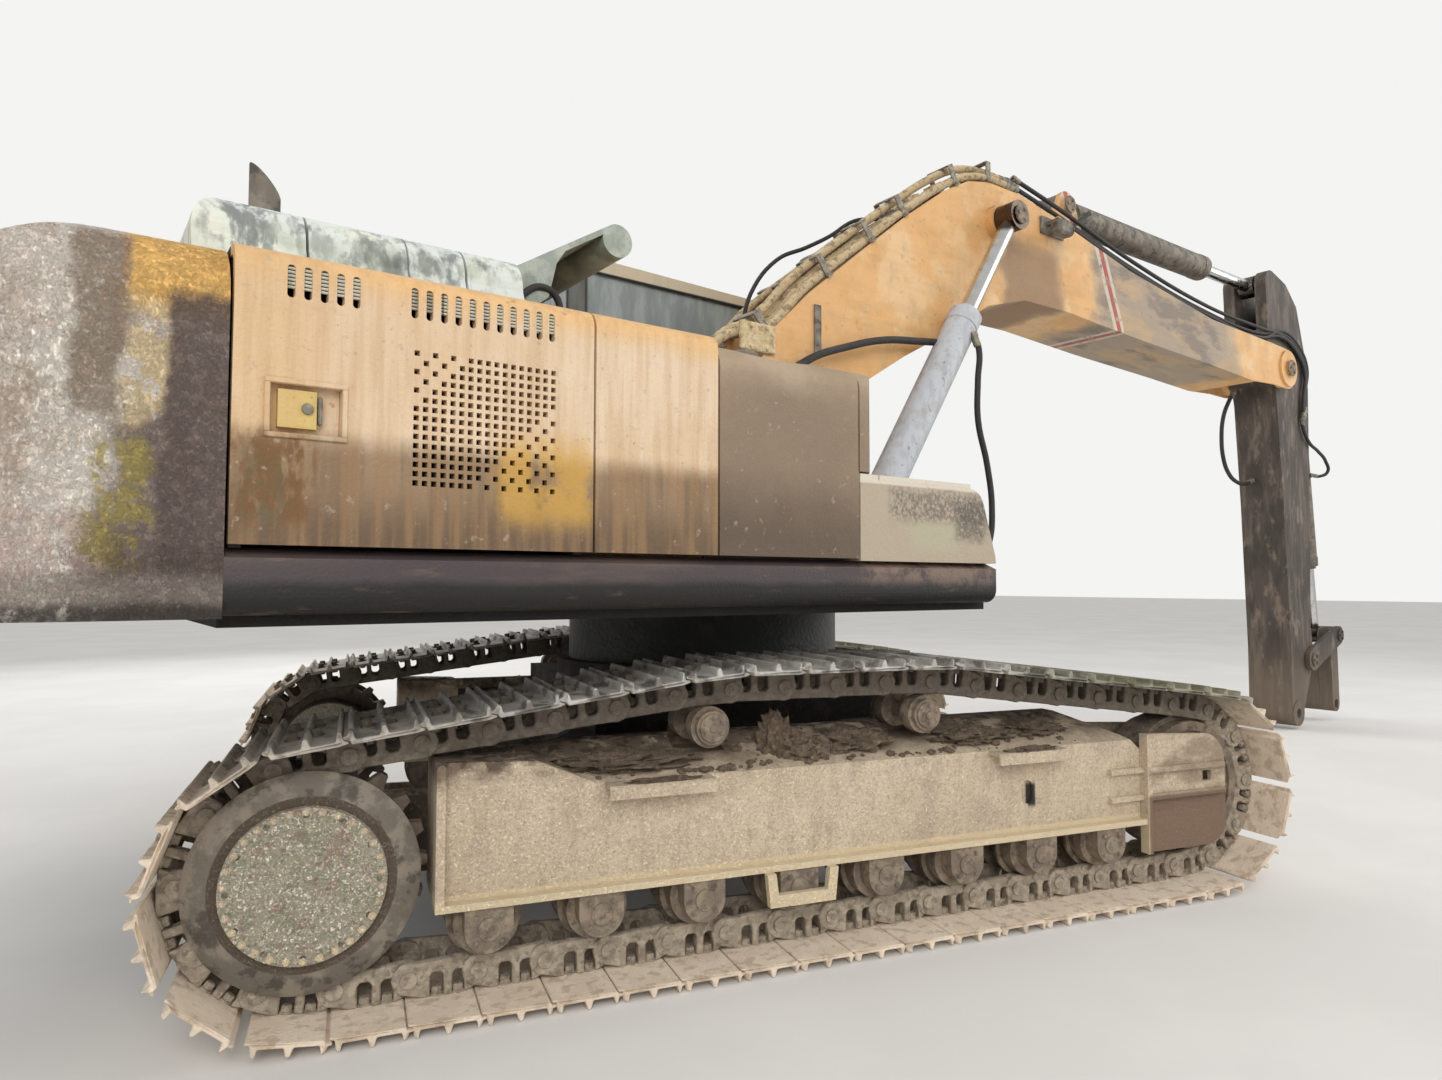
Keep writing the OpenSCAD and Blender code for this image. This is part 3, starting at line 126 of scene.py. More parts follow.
class PaintColours(bpy.types.PropertyGroup):
    """Main colours of the weathered paint and dust."""

    panel: colour("Side panels", "Chalked ochre enamel of the panels", "#d2b797")
    boom: colour("Boom", "Faded orange enamel of the boom", "#dcab70")
    hood: colour("Hood", "Light grey enamel of the hood", "#d3d7d1")
    frame: colour("Track frame", "Dusty tan of the track frames", "#dcc7a9")
    shoe: colour("Shoes", "Sandy dust on the track shoes", "#e2d0ba")


def track_sizes():
    return bpy.context.scene.excavator_track


def hose_sizes():
    return bpy.context.scene.excavator_hose


# Shader building


def node(mat, kind, inputs=None, **settings):
    """Adds one shader node, with its own settings, and fills its sockets with numbers or links."""
    made = mat.node_tree.nodes.new("ShaderNode" + kind)
    for key, value in settings.items():
        setattr(made, key, value)
    for key, value in (inputs or {}).items():
        if isinstance(value, bpy.types.NodeSocket):
            mat.node_tree.links.new(value, made.inputs[key])
        else:
            made.inputs[key].default_value = value
    return made


def mathed(mat, operation, *values):
    return node(mat, "Math", dict(enumerate(values)), operation=operation).outputs[0]


def place_on(mat):
    return mat.node_tree.nodes["place"].outputs[0]


def cloud_on(mat, scale, shift, detail, rough):
    """Noise on the object's place, which is first scaled by three numbers and shifted."""
    spot = node(mat, "Mapping", {"Vector": place_on(mat), "Location": [shift] * 3, "Scale": scale})
    cloud = node(mat, "TexNoise", {"Vector": spot.outputs[0], "Scale": 1.0, "Detail": detail,
                                   "Roughness": rough})
    return cloud.outputs[0]


def band(mat, value, start, end, soft=True):
    """0 before `start` to 1 after `end`."""
    return node(mat, "MapRange", {"Value": value, "From Min": start, "From Max": end},
                interpolation_type="SMOOTHSTEP" if soft else "LINEAR").outputs[0]


def mask(build):
    """Lets a mask be described first, and built once in the material that uses it."""
    def describe(*values, **named):
        made = []

        def socket(mat):
            if not made:
                made.append(build(mat, *values, **named))
            return made[0]
        return socket
    return describe


@mask
def patches(mat, size, low, high, shift=0.0, stretch=(1, 1, 1), rough=0.6):
    """Uneven patches about `size` metres across, drawn out along an axis by `stretch`."""
    return band(mat, cloud_on(mat, [1 / (size * s) for s in stretch], shift, 6.0, rough), low, high)


@mask
def rise(mat, axis, start, end, wander=0.0, size=0.25, shift=0.0):
    """From 0 at `start` to 1 at `end` along an axis, with an edge that wanders."""
    value = node(mat, "SeparateXYZ", {0: place_on(mat)}).outputs["XYZ".index(axis)]
    if wander:
        cloud = cloud_on(mat, [1 / size] * 3, shift, 5.0, 0.6)
        value = mathed(mat, "MULTIPLY_ADD", cloud, 4 * wander, value)
    return band(mat, value, start + 2 * wander, end + 2 * wander)


@mask
def both(mat, one, other):
    return mathed(mat, "MULTIPLY", one(mat), other(mat))


def within(axis, low, high, soft, wander=0.0, size=0.2, shift=0.0):
    """The stretch between two places along an axis, with soft and wandering edges."""
    return both(rise(axis, low - soft, low + soft, wander, size, shift),
                rise(axis, high + soft, high - soft, wander, size, shift + 3.7))


@mask
def facing(mat, axis, start, end):
    """Faces that look along an axis, such as the upper faces that gather dust."""
    parts = node(mat, "SeparateXYZ", {0: node(mat, "NewGeometry").outputs["Normal"]})
    return band(mat, parts.outputs["XYZ".index(axis)], start, end, False)


@mask
def slanted(mat, low, high):
    """A band across both sides of the boom that leans back as it rises."""
    parts = node(mat, "SeparateXYZ", {0: place_on(mat)})
    lean = 0.42
    slant = mathed(mat, "MULTIPLY_ADD", parts.outputs[2], lean, parts.outputs[0])
    after = mathed(mat, "GREATER_THAN", slant, low)
    return mathed(mat, "MULTIPLY", after, mathed(mat, "LESS_THAN", slant, high))


@mask
def beyond(mat, x, z, radius):
    """All that lies outside a circle seen along Y."""
    flat = node(mat, "VectorMath", {0: place_on(mat), 1: (1, 0, 1)}, operation="MULTIPLY").outputs[0]
    reach = node(mat, "VectorMath", {0: flat, 1: (x, 0, z)}, operation="DISTANCE").outputs["Value"]
    return mathed(mat, "GREATER_THAN", reach, radius)


@mask
def woven(mat, threads):
    """A plain weave with that many threads in a metre."""
    spot = node(mat, "Mapping", {"Vector": place_on(mat), "Scale": [threads] * 3})
    return node(mat, "TexChecker", {"Vector": spot.outputs[0], "Scale": 1.0, "Color1": (1, 1, 1, 1),
                                    "Color2": (0, 0, 0, 1)}).outputs["Fac"]


@mask
def spread(mat, share, low, high):
    """A number between two, by a mask."""
    return node(mat, "MapRange", {"Value": share(mat), "To Min": low, "To Max": high}).outputs[0]


def grain(size, depth):
    """Fine relief that a finish is given: patches and their depth, in metres."""
    return patches(size, 0.3, 0.8), depth


def finish(base, layers, bumps=(), turn=0.0, **values):
    """A material on the object's place, in metres, turned about Z.

    It has a base colour, named or in hex, then each layer's colour where all of its masks are
    high, relief from masks with their depths in metres, and even numbers or masks for the shader.
    """
    mat = bpy.data.materials.new("finish")
    mat.use_nodes = True
    mat.node_tree.nodes.clear()
    coords = node(mat, "TexCoord").outputs["Object"]
    node(mat, "Mapping", {"Vector": coords, "Rotation": (0, 0, turn)}).name = "place"
    paint = bpy.context.scene.excavator_paint
    shown = tint(base) if base.startswith("#") else list(getattr(paint, base))
    for code, cover, *masks in layers:
        for part in masks:
            cover = mathed(mat, "MULTIPLY", part(mat), cover)
        shown = node(mat, "Mix", {0: cover, 6: shown, 7: tint(code)}, data_type="RGBA").outputs[2]
    inputs = {"Base Color": shown}
    for part, depth in bumps:
        bump = {"Height": part(mat), "Distance": depth, "Strength": 1.0}
        if "Normal" in inputs:
            bump["Normal"] = inputs["Normal"]
        inputs["Normal"] = node(mat, "Bump", bump).outputs[0]
    for key, value in values.items():
        socket = key.replace("_", " ").title().replace("Ior", "IOR")
        inputs[socket] = value(mat) if callable(value) else value
    shader = node(mat, "BsdfPrincipled", inputs)
    node(mat, "OutputMaterial", {"Surface": shader.outputs[0]})
    return mat


# Finishes


def chalked_panel_enamel():
    """Sprayed ochre enamel on steel sheet, chalked pink by the sun: matt, washed brown by rain."""
    rain = patches(0.03, 0.4, 0.66, 3.1, (1, 1, 16))
    wide_rain = patches(0.09, 0.42, 0.6, 8.7, (1, 1, 12))
    washed = rise("Z", 1.755, 1.675, 0.012, 0.3, 1.2)
    lowest = rise("Z", 1.66, 1.46, 0.03, 0.2, 4.4)
    bleached = patches(0.4, 0.4, 0.62, 5.5)
    tank = rise("X", -0.992, -0.985)
    box = both(rise("X", -0.337, -0.334), rise("Z", 1.771, 1.768))
    rear = rise("X", -2.16, -2.34, 0.03, 0.2, 7.0)
    return finish("panel", [
        ("#dcc6aa", 0.7, bleached),
        ("#cfa97a", 0.35, patches(0.3, 0.5, 0.64, 11.0, (1, 1, 1.6))),
        ("#dcae70", 0.8, rise("Z", 2.06, 2.17, 0.03)),
        ("#7d6346", 0.6, patches(0.3, 0.6, 0.64, 4.0, (1, 1, 34)), rise("X", -2.24, -2.32, 0.03),
         rise("Z", 1.76, 1.8, 0.02)),
        ("#c9b358", 0.85, within("X", -2.335, -2.235, 0.002), within("Z", 1.738, 1.837, 0.002)),
        ("#cda878", 0.6, rear, patches(0.3, 0.34, 0.5, 2.0, (1, 1, 1.4))),
        ("#876d4f", 0.9, washed),
        ("#5f4a36", 0.95, lowest),
        ("#6a543d", 0.6, wide_rain, washed),
        ("#5c4838", 0.45, rain, washed),
        ("#b08a5c", 0.35, rain),
        ("#c6993f", 0.7, within("X", -1.76, -1.462, 0.03, 0.02, 0.12),
         within("Z", 1.53, 1.77, 0.05, 0.02, 0.1), patches(0.14, 0.36, 0.5, 2.4, (1, 1, 1.3))),
        ("#6d4a24", 0.9, within("X", -2.43, -2.25, 0.03, 0.02, 0.1, 2.0),
         within("Z", 1.5, 1.72, 0.04, 0.02, 0.1), patches(0.045, 0.4, 0.52, 6.0, (1, 1, 2.4))),
        ("#5b5434", 0.5, within("X", -2.42, -2.3, 0.02), within("Z", 1.48, 1.66, 0.04, 0.02, 0.1),
         patches(0.03, 0.46, 0.56, 9.0, (1, 1, 1.6))),
        ("#8f5b2a", 0.5, patches(0.022, 0.62, 0.72, 7.2)),
        ("#a3907a", 0.9, tank),
        ("#7b6855", 0.85, tank, rise("Z", 2.12, 1.98, 0.04, 0.3, 6.0)),
        ("#8d7860", 0.6, tank, bleached),
        ("#564739", 0.85, tank, rise("Z", 1.8, 1.5, 0.06, 0.3, 9.0)),
        ("#b3a48f", 0.9, box),
        ("#5b554f", 0.75, box, within("X", -0.16, 0.46, 0.03, 0.03, 0.08),
         within("Z", 1.6, 1.725, 0.03, 0.02, 0.08), patches(0.016, 0.4, 0.56, 3.0, rough=0.8)),
        ("#4e4842", 0.75, box, within("X", 0.2, 0.4, 0.03, 0.04, 0.1),
         within("Z", 1.53, 1.69, 0.03, 0.03, 0.1), patches(0.02, 0.38, 0.52, 5.0, rough=0.8)),
        ("#aeb08f", 0.45, box, within("X", -0.05, 0.22, 0.05), within("Z", 1.49, 1.6, 0.03)),
        # Painted highlight: a pale band along the top edge of the tool box
        ("#ded6c6", 0.7, box, rise("Z", 1.73, 1.74, 0.003)),
        ("#ab9a88", 0.5, patches(0.03, 0.62, 0.7, 14.2)),
    ], [grain(0.012, 0.0012), (bleached, 0.003)], roughness=0.62)


def oily_skirt_enamel():
    """Enamel under a film of road dirt and oil, dark brown; painted highlight on top, painted shade below.
    """
    return finish("#43393a", [
        # Painted highlight: lighter brown along the skirt's upper curve
        ("#5f5048", 0.7, rise("Z", 1.38, 1.43, 0.01), patches(0.2, 0.35, 0.65, 0, (3, 1, 1))),
        ("#6d5a4c", 0.45, patches(0.3, 0.52, 0.66, 2.0, (3, 1, 0.6))),
        # Painted shade: near black along the skirt's rounded lower edge
        ("#080605", 0.97, rise("Z", 1.375, 1.34, 0.01)),
        ("#7a6350", 0.35, patches(0.05, 0.58, 0.7, 5.0, (4, 1, 1))),
        ("#85705e", 0.7, rise("X", -0.36, -0.3, 0.02), rise("Z", 1.33, 1.4, 0.02),
         patches(0.08, 0.4, 0.56, 8.0)),
    ], [grain(0.01, 0.001)], roughness=0.5)


def peeling_counterweight_paint():
    """Cast iron with enamel that has peeled down to primer, crusted pale with mortar and moss."""
    crust = patches(0.03, 0.45, 0.62, 3.0, rough=0.75)
    fine = patches(0.012, 0.4, 0.6, 5.0, (1, 1, 1.6), 0.8)
    clean = rise("X", -2.68, -2.63, 0.02, 0.15, 2.2)
    high = rise("Z", 1.95, 2.02, 0.035, 0.12, 6.1)
    front = within("X", -2.57, -2.3, 0.012, 0.02, 0.14, 4.0)
    middle = within("X", -2.74, -2.645, 0.012, 0.035, 0.2, 8.0)
    return finish("#e2d5c6", [
        ("#f0e9dc", 0.8, patches(0.3, 0.44, 0.58, 1.7, (1, 1, 1.4), 0.7)),
        ("#c7b19f", 0.7, patches(0.12, 0.5, 0.6, 12.0, (1, 1, 1.8), 0.7)),
        ("#a78f78", 0.6, fine, patches(0.25, 0.46, 0.56, 20.0)),
        ("#c9aca2", 0.7, rise("Z", 1.66, 1.4, 0.06, 0.3), patches(0.1, 0.4, 0.56, 4.4)),
        ("#efbc6d", 1.0, clean, high),
        ("#e0c79a", 0.9, within("X", -2.655, -2.56, 0.02, 0.03, 0.12),
         within("Z", 1.6, 2.0, 0.03, 0.03, 0.1), patches(0.06, 0.42, 0.5, 9.4)),
        ("#685851", 0.92, front, rise("Z", 2.07, 2.02, 0.03, 0.1, 4.0)),
        ("#87715a", 0.8, middle, within("Z", 1.72, 2.17, 0.02, 0.04, 0.15)),
        ("#6d5d56", 0.85, within("X", -2.68, -2.5, 0.03, 0.04, 0.16, 1.0),
         rise("Z", 1.78, 1.7, 0.05, 0.2, 3.0)),
        ("#a8974e", 0.85, within("X", -2.71, -2.6, 0.02, 0.03, 0.1, 7.0),
         within("Z", 1.38, 1.68, 0.03, 0.03, 0.1), patches(0.06, 0.38, 0.5, 6.6, (1, 1, 1.4))),
        ("#574840", 0.8, rise("Z", 1.5, 1.36, 0.05, 0.3, 8.0), rise("X", -2.85, -2.66, 0.06)),
        ("#94887e", 0.75, rise("Z", 1.39, 1.35, 0.012, 0.2)),
        ("#39302b", 0.9, rise("Z", 1.32, 1.29, 0.008, 0.2)),
        ("#3e3430", 0.5, patches(0.018, 0.62, 0.72, 8.0)),
        ("#e9e1d3", 0.5, crust, patches(0.3, 0.42, 0.58, 15.0), rise("X", -2.6, -2.7, 0.04)),
    ], [(crust, 0.004), (fine, 0.002)], roughness=0.82)


def bleached_hood_enamel():
    """Pale grey enamel, bleached and flaking, with soot washed down in thin vertical lines."""
    runs = patches(0.03, 0.44, 0.62, 1.0, (1, 1, 9))
    return finish("hood", [
        ("#dcdcc9", 0.7, patches(0.3, 0.45, 0.6, 6.0)),
        ("#8f948e", 0.75, runs, patches(0.3, 0.42, 0.56, 3.0)),
        ("#6f746f", 0.8, patches(0.14, 0.56, 0.64, 9.0, (1, 1, 2.2))),
        ("#7d807d", 0.7, within("X", -2.42, -2.3, 0.03, 0.02, 0.1), runs),
        ("#62655f", 0.75, within("X", -2.0, -1.94, 0.012, 0.012, 0.1), rise("Z", 2.37, 2.3, 0.03)),
        ("#b3a98f", 0.5, rise("Z", 2.3, 2.18, 0.05)),
        ("#a9b39c", 0.55, patches(0.25, 0.52, 0.62, 12.0)),
        ("#5d605b", 0.85, within("X", -1.925, -1.919, 0.002)),
        ("#858d82", 0.85, rise("X", -1.52, -1.5)),
        ("#b9c0b2", 0.6, rise("X", -1.52, -1.5), patches(0.16, 0.48, 0.6, 2.0)),
    ], [grain(0.015, 0.0015)], roughness=0.6)


def faded_boom_enamel():
    """Orange enamel on welded plate: still bright by the foot, hidden by dried mud at the front."""
    muddy = within("X", 3.3, 5.4, 0.14, 0.16, 0.4, 3.0)
    stained = within("X", 2.2, 2.85, 0.1, 0.1, 0.3, 5.0)
    worn = patches(0.05, 0.34, 0.46, 13.0)
    side = facing("Z", 0.4, 0.1)
    # The stripe's bands: where each starts and ends, and its colour
    stripe = ((4.86, 4.905, "#c9bfb0"), (4.905, 4.96, "#a8392c"), (4.96, 5.0, "#c9bfb0"))
    return finish("boom", [
        ("#cf9c5e", 0.6, patches(0.3, 0.45, 0.62, 5.0)),
        ("#e2bf90", 0.7, patches(0.35, 0.48, 0.62, 8.0)),
        ("#bb9d74", 0.25, patches(0.09, 0.52, 0.64, 11.0, (1, 1, 2))),
        ("#86694a", 0.85, stained, rise("Z", 3.78, 3.55, 0.1, 0.3, 1.0)),
        ("#9a8c7b", 0.9, muddy),
        ("#b99a72", 0.75, muddy, patches(0.25, 0.46, 0.58, 6.0, (3, 1, 1))),
        ("#73675b", 0.75, muddy, patches(0.2, 0.5, 0.62, 1.0, (3, 1, 1))),
        ("#6b5a48", 0.1, patches(0.07, 0.42, 0.64, 2.0, (6, 1, 1))),
        ("#5a4b3c", 0.6, facing("Z", 0.5, 0.9)),
        ("#3f352d", 0.2, patches(0.05, 0.6, 0.7, 4.0)),
    ] + [(code, 0.85, slanted(low, high), worn, side) for low, high, code in stripe],
        [grain(0.014, 0.0015)], roughness=0.6)


def mud_dark_arm_paint():
    """Paint that old grease and soil have turned dark grey-brown, dry and dusty on its edges."""
    return finish("#4d443c", [
        ("#6e6256", 0.7, patches(0.06, 0.45, 0.62, 2.0, (1, 1, 8))),
        ("#362f2a", 0.75, patches(0.2, 0.46, 0.58, 7.0, (1, 1, 3))),
        ("#857566", 0.6, patches(0.12, 0.56, 0.66, 5.0, (1, 1, 2))),
        ("#7d6c59", 0.5, rise("Z", 0.9, 0.3, 0.1)),
    ], [grain(0.014, 0.0018)], roughness=0.68)


def dusty_frame_paint():
    """Structural steel under dried clay dust: flat tan with faint upright rain marks."""
    grit = patches(0.009, 0.4, 0.6, rough=0.8)
    return finish("frame", [
        ("#ead8bb", 0.7, patches(0.4, 0.42, 0.6, 4.0)),
        ("#c6af94", 0.6, patches(0.05, 0.45, 0.66, 1.5, (1, 1, 5))),
        ("#b9a38e", 0.6, patches(0.15, 0.54, 0.66, 9.0)),
        ("#f0e0c8", 0.5, grit),
        ("#a48d78", 0.45, patches(0.012, 0.5, 0.6, 13.0, rough=0.8)),
        ("#7b6857", 0.85, rise("Z", 0.67, 0.76, 0.02, 0.2), patches(0.14, 0.35, 0.52, 3.0, (1.5, 1, 1))),
        ("#54463b", 0.8, rise("Z", 0.7, 0.78, 0.02, 0.1), patches(0.06, 0.48, 0.58, 17.0)),
        ("#f0dcb6", 0.8, rise("Z", 0.372, 0.362, 0.002)),
        ("#806554", 0.92, rise("X", 1.47, 1.49), rise("Z", 0.455, 0.435, 0.004)),
        ("#8b7360", 0.6, rise("X", 1.47, 1.49), patches(0.2, 0.42, 0.56, 8.0, (2, 1, 1))),
        ("#5a4c40", 0.5, patches(0.02, 0.62, 0.72, 6.0)),
        # Painted shade: a near-black patch where the frame has a hole that is not modelled
        ("#1a1512", 0.95, within("X", 0.872, 0.91, 0.006), within("Z", 0.446, 0.54, 0.012)),
    ], [(grit, 0.002)], track_sizes().slew, roughness=0.9)


def dark_dusty_steel():
    """Chassis steel in the machine's shadow: old grease with dry earth stuck on it; painted shade under
    the deck.
    """
    return finish("#26211d", [
        ("#4a4037", 0.6, patches(0.15, 0.48, 0.62)),
        ("#171412", 0.7, patches(0.08, 0.52, 0.64, 3.0)),
        ("#7a6a58", 0.5, facing("Z", 0.5, 0.9)),
        # Painted shade: near black in the gap under the deck, above the carbody
        ("#0a0807", 0.9, rise("Z", 1.34, 1.3), rise("Z", 1.1, 1.15)),
    ], [grain(0.012, 0.002)], roughness=0.8)


def worn_roller_steel():
    """Cast and machined steel, ground bright by the chain and then dusted over."""
    return finish("#7f7163", [
        ("#a8957f", 0.6, patches(0.06, 0.45, 0.6)),
        ("#5b5046", 0.7, patches(0.04, 0.52, 0.64, 2.0)),
        ("#a39f84", 0.4, patches(0.05, 0.55, 0.66, 6.0)),
    ], [(patches(0.006, 0.3, 0.75), 0.0015)], roughness=0.75, metallic=0.15)


def lichen_dusted_casting():
    """Cast planet case caked in pale dust and lichen, speckled grey, tan and green."""
    sizes = track_sizes()
    speck = patches(0.011, 0.42, 0.58, rough=0.85)
    return finish("#c9bda2", [
        ("#efe6d2", 0.85, speck),
        ("#948a76", 0.75, patches(0.014, 0.5, 0.6, 5.0, rough=0.85)),
        ("#a9b08e", 0.5, patches(0.07, 0.5, 0.62, 9.0)),
        ("#b08b7c", 0.5, patches(0.05, 0.54, 0.64, 12.0)),
        # Dark brown outside the cover's rim: partly the casting's own colour, partly painted shade
        ("#6f5d4e", 0.9, beyond(-sizes.wheelbase / 2, sizes.wheel_z, 0.2335)),
    ], [(speck, 0.004)], sizes.slew, roughness=0.92)


def sandy_shoe_steel():
    """Rolled steel shoes, polished by the ground and dried with sand; grey on the upper run."""
    upper = rise("Z", 0.72, 0.98, 0.05)
    return finish("shoe", [
        ("#efdfca", 0.7, patches(0.15, 0.42, 0.6)),
        ("#b39e88", 0.6, patches(0.05, 0.5, 0.64, 3.0)),
        ("#a8a49d", 0.9, upper),
        ("#d2cfc8", 0.6, upper, patches(0.06, 0.46, 0.58, 7.0, (1, 3, 1))),
        ("#5d564e", 0.75, upper, patches(0.1, 0.5, 0.6, 9.0, (1, 2, 1))),
        ("#5f5f35", 0.7, upper, rise("X", 0.1, 0.9, 0.3)),
    ], [grain(0.01, 0.0025)], roughness=0.85)


def greasy_link_steel():
    """Forged links: grey-brown scale with packed grease in the corners and bright rail faces."""
    return finish("#a39684", [
        ("#c2b4a0", 0.7, patches(0.03, 0.46, 0.6)),
        ("#6b5f53", 0.55, patches(0.025, 0.5, 0.62, 4.0)),
        ("#4a433b", 0.7, rise("Z", 0.6, 0.85, 0.1)),
    ], [(patches(0.006, 0.3, 0.75), 0.0015)], roughness=0.72, metallic=0.2)


def dusty_cylinder_paint():
    """Honed tube under grey enamel and pale dust, with wipes of oil near its gland."""
    return finish("#bdc0c5", [
        ("#a2a5a9", 0.6, patches(0.05, 0.45, 0.64, 2.0, (1, 1, 5))),
        ("#9a8f80", 0.3, patches(0.12, 0.52, 0.66)),
        ("#5d554b", 0.6, patches(0.03, 0.6, 0.7, 7.0)),
    ], [grain(0.01, 0.0008)], roughness=0.5)


def muddy_cylinder_paint():
    """The same tube paint on the arm, dark with dried mud."""
    return finish("#6b6358", [
        ("#8f8474", 0.7, patches(0.08, 0.46, 0.6)),
        ("#3a342e", 0.7, patches(0.06, 0.52, 0.62, 3.0)),
    ], [grain(0.01, 0.001)], roughness=0.62)


def hard_chrome():
    """Hard chrome rod: mirror bright under a thin film of dust and rain spots."""
    film = patches(0.06, 0.4, 0.7)
    return finish("#cfcfcd", [
        ("#a39a8c", 0.5, film),
        ("#4b3a2e", 0.95, within("X", 1.9, 2.4, 0.01), rise("Z", 3.56, 3.6, 0.01)),
        ("#5d564e", 0.95, rise("X", 6.21, 6.24), rise("Z", 3.9, 4.0)),
        ("#4f473f", 0.95, rise("Z", 0.97, 0.94)),
    ], roughness=spread(film, 0.16, 0.42), metallic=1.0)


def dusty_pipe_paint():
    """Steel pipe under a thick coat of tan dust that has cracked off in places."""
    return finish("#cdb68c", [
        ("#e6d2ac", 0.7, patches(0.05, 0.45, 0.6)),
        ("#8a7658", 0.6, patches(0.035, 0.52, 0.62, 5.0)),
    ], [(patches(0.01, 0.3, 0.7), 0.003)], roughness=0.9)


def aged_hose_rubber():
    """Smooth black hose rubber gone grey with age, matt, dusted on top."""
    return finish("#2c2a28", [
        ("#5b534a", 0.7, facing("Z", 0.1, 0.9), patches(0.06, 0.4, 0.6)),
        ("#171615", 0.6, patches(0.03, 0.5, 0.62)),
    ], [grain(0.004, 0.0005)], roughness=0.66)


def dust_coated_rubber():
    """The boom's hoses, whose rubber is hidden by tan dust and split by the sun."""
    return finish("#c0a982", [
        ("#e4cfa8", 0.75, facing("Z", 0.0, 0.8), patches(0.05, 0.4, 0.58)),
        ("#6b5c49", 0.6, patches(0.04, 0.52, 0.6, 3.0)),
    ], [(patches(0.012, 0.35, 0.65), 0.003)], roughness=0.92)


def zinc_plated_fitting():
    """Zinc plated steel of hose ends and clamps, dulled by oil and tan dust."""
    return finish("#7d776c", [
        ("#a69a84", 0.7, patches(0.03, 0.45, 0.6)),
        ("#3c362f", 0.7, patches(0.02, 0.52, 0.64, 4.0)),
    ], [grain(0.005, 0.0006)], roughness=0.55, metallic=0.4)


def chalked_cab_enamel():
    """Thin enamel on the pressed cab, chalky and dusty."""
    return finish("#c0a272", [
        ("#d4b27a", 0.7, patches(0.35, 0.46, 0.6, 5.0)),
        ("#8b7b64", 0.6, patches(0.05, 0.46, 0.66, 2.0, (1, 1, 8))),
        ("#4a4d4b", 0.93, within("Z", 2.2, 3.07, 0.01)),
        ("#767a74", 0.5, within("Z", 2.2, 3.07, 0.01), patches(0.2, 0.46, 0.62, 4.0, (1, 1, 3))),
        ("#c3b79f", 0.85, rise("Z", 3.06, 3.08)),
        ("#6d604f", 0.6, rise("Z", 1.75, 1.5, 0.06)),
    ], [grain(0.012, 0.001)], roughness=0.6)


def dusty_tinted_glass():
    """Tinted safety glass, grey with a dry film of dust that rain has run through."""
    film = patches(0.08, 0.35, 0.7, 0, (1, 1, 4))
    return finish("#8c9391", [("#b4b9b5", 0.7, film)], roughness=spread(film, 0.1, 0.45), ior=1.5,
                  alpha=0.82)


def woven_seat_cloth():
    """Woven seat cover, drawn with threads 4 mm apart, coarser than real so that they show."""
    weave = woven(250)
    return finish("#2e2d2c", [("#454341", 0.6, weave), ("#6d6353", 0.6, patches(0.1, 0.48, 0.62))],
                  [(weave, 0.0008)], roughness=0.9, sheen_weight=0.3)


def moulded_black_plastic():
    """Moulded black ABS with a fine grain, greyed by dust."""
    return finish("#2f2f2e", [("#6f675a", 0.5, facing("Z", 0.2, 0.9), patches(0.08, 0.4, 0.6))],
                  [grain(0.003, 0.0004)], roughness=0.55)


def greasy_bearing_steel():
    """Bearing steel, black with grease."""
    return finish("#0f0d0c", [("#3a322b", 0.35, patches(0.1, 0.5, 0.64))], [grain(0.02, 0.003)],
                  roughness=0.45)


def dry_crumbled_earth():
    """Crumbled clay and dead leaves that lie on the track frames."""
    clod = patches(0.02, 0.35, 0.65, rough=0.8)
    return finish("#7b6a58", [
        ("#a08c74", 0.8, clod),
        ("#4b3f34", 0.8, patches(0.03, 0.5, 0.62, 5.0, rough=0.8)),
        ("#b9a98f", 0.4, patches(0.015, 0.56, 0.66, 8.0)),
    ], [(clod, 0.006)], roughness=0.95)


def pale_studio_floor():
    """Smooth pale screed, a little cloudy."""
    return finish("#dedcd8", [("#e6e4e0", 0.6, patches(1.5, 0.4, 0.6))], roughness=0.9)


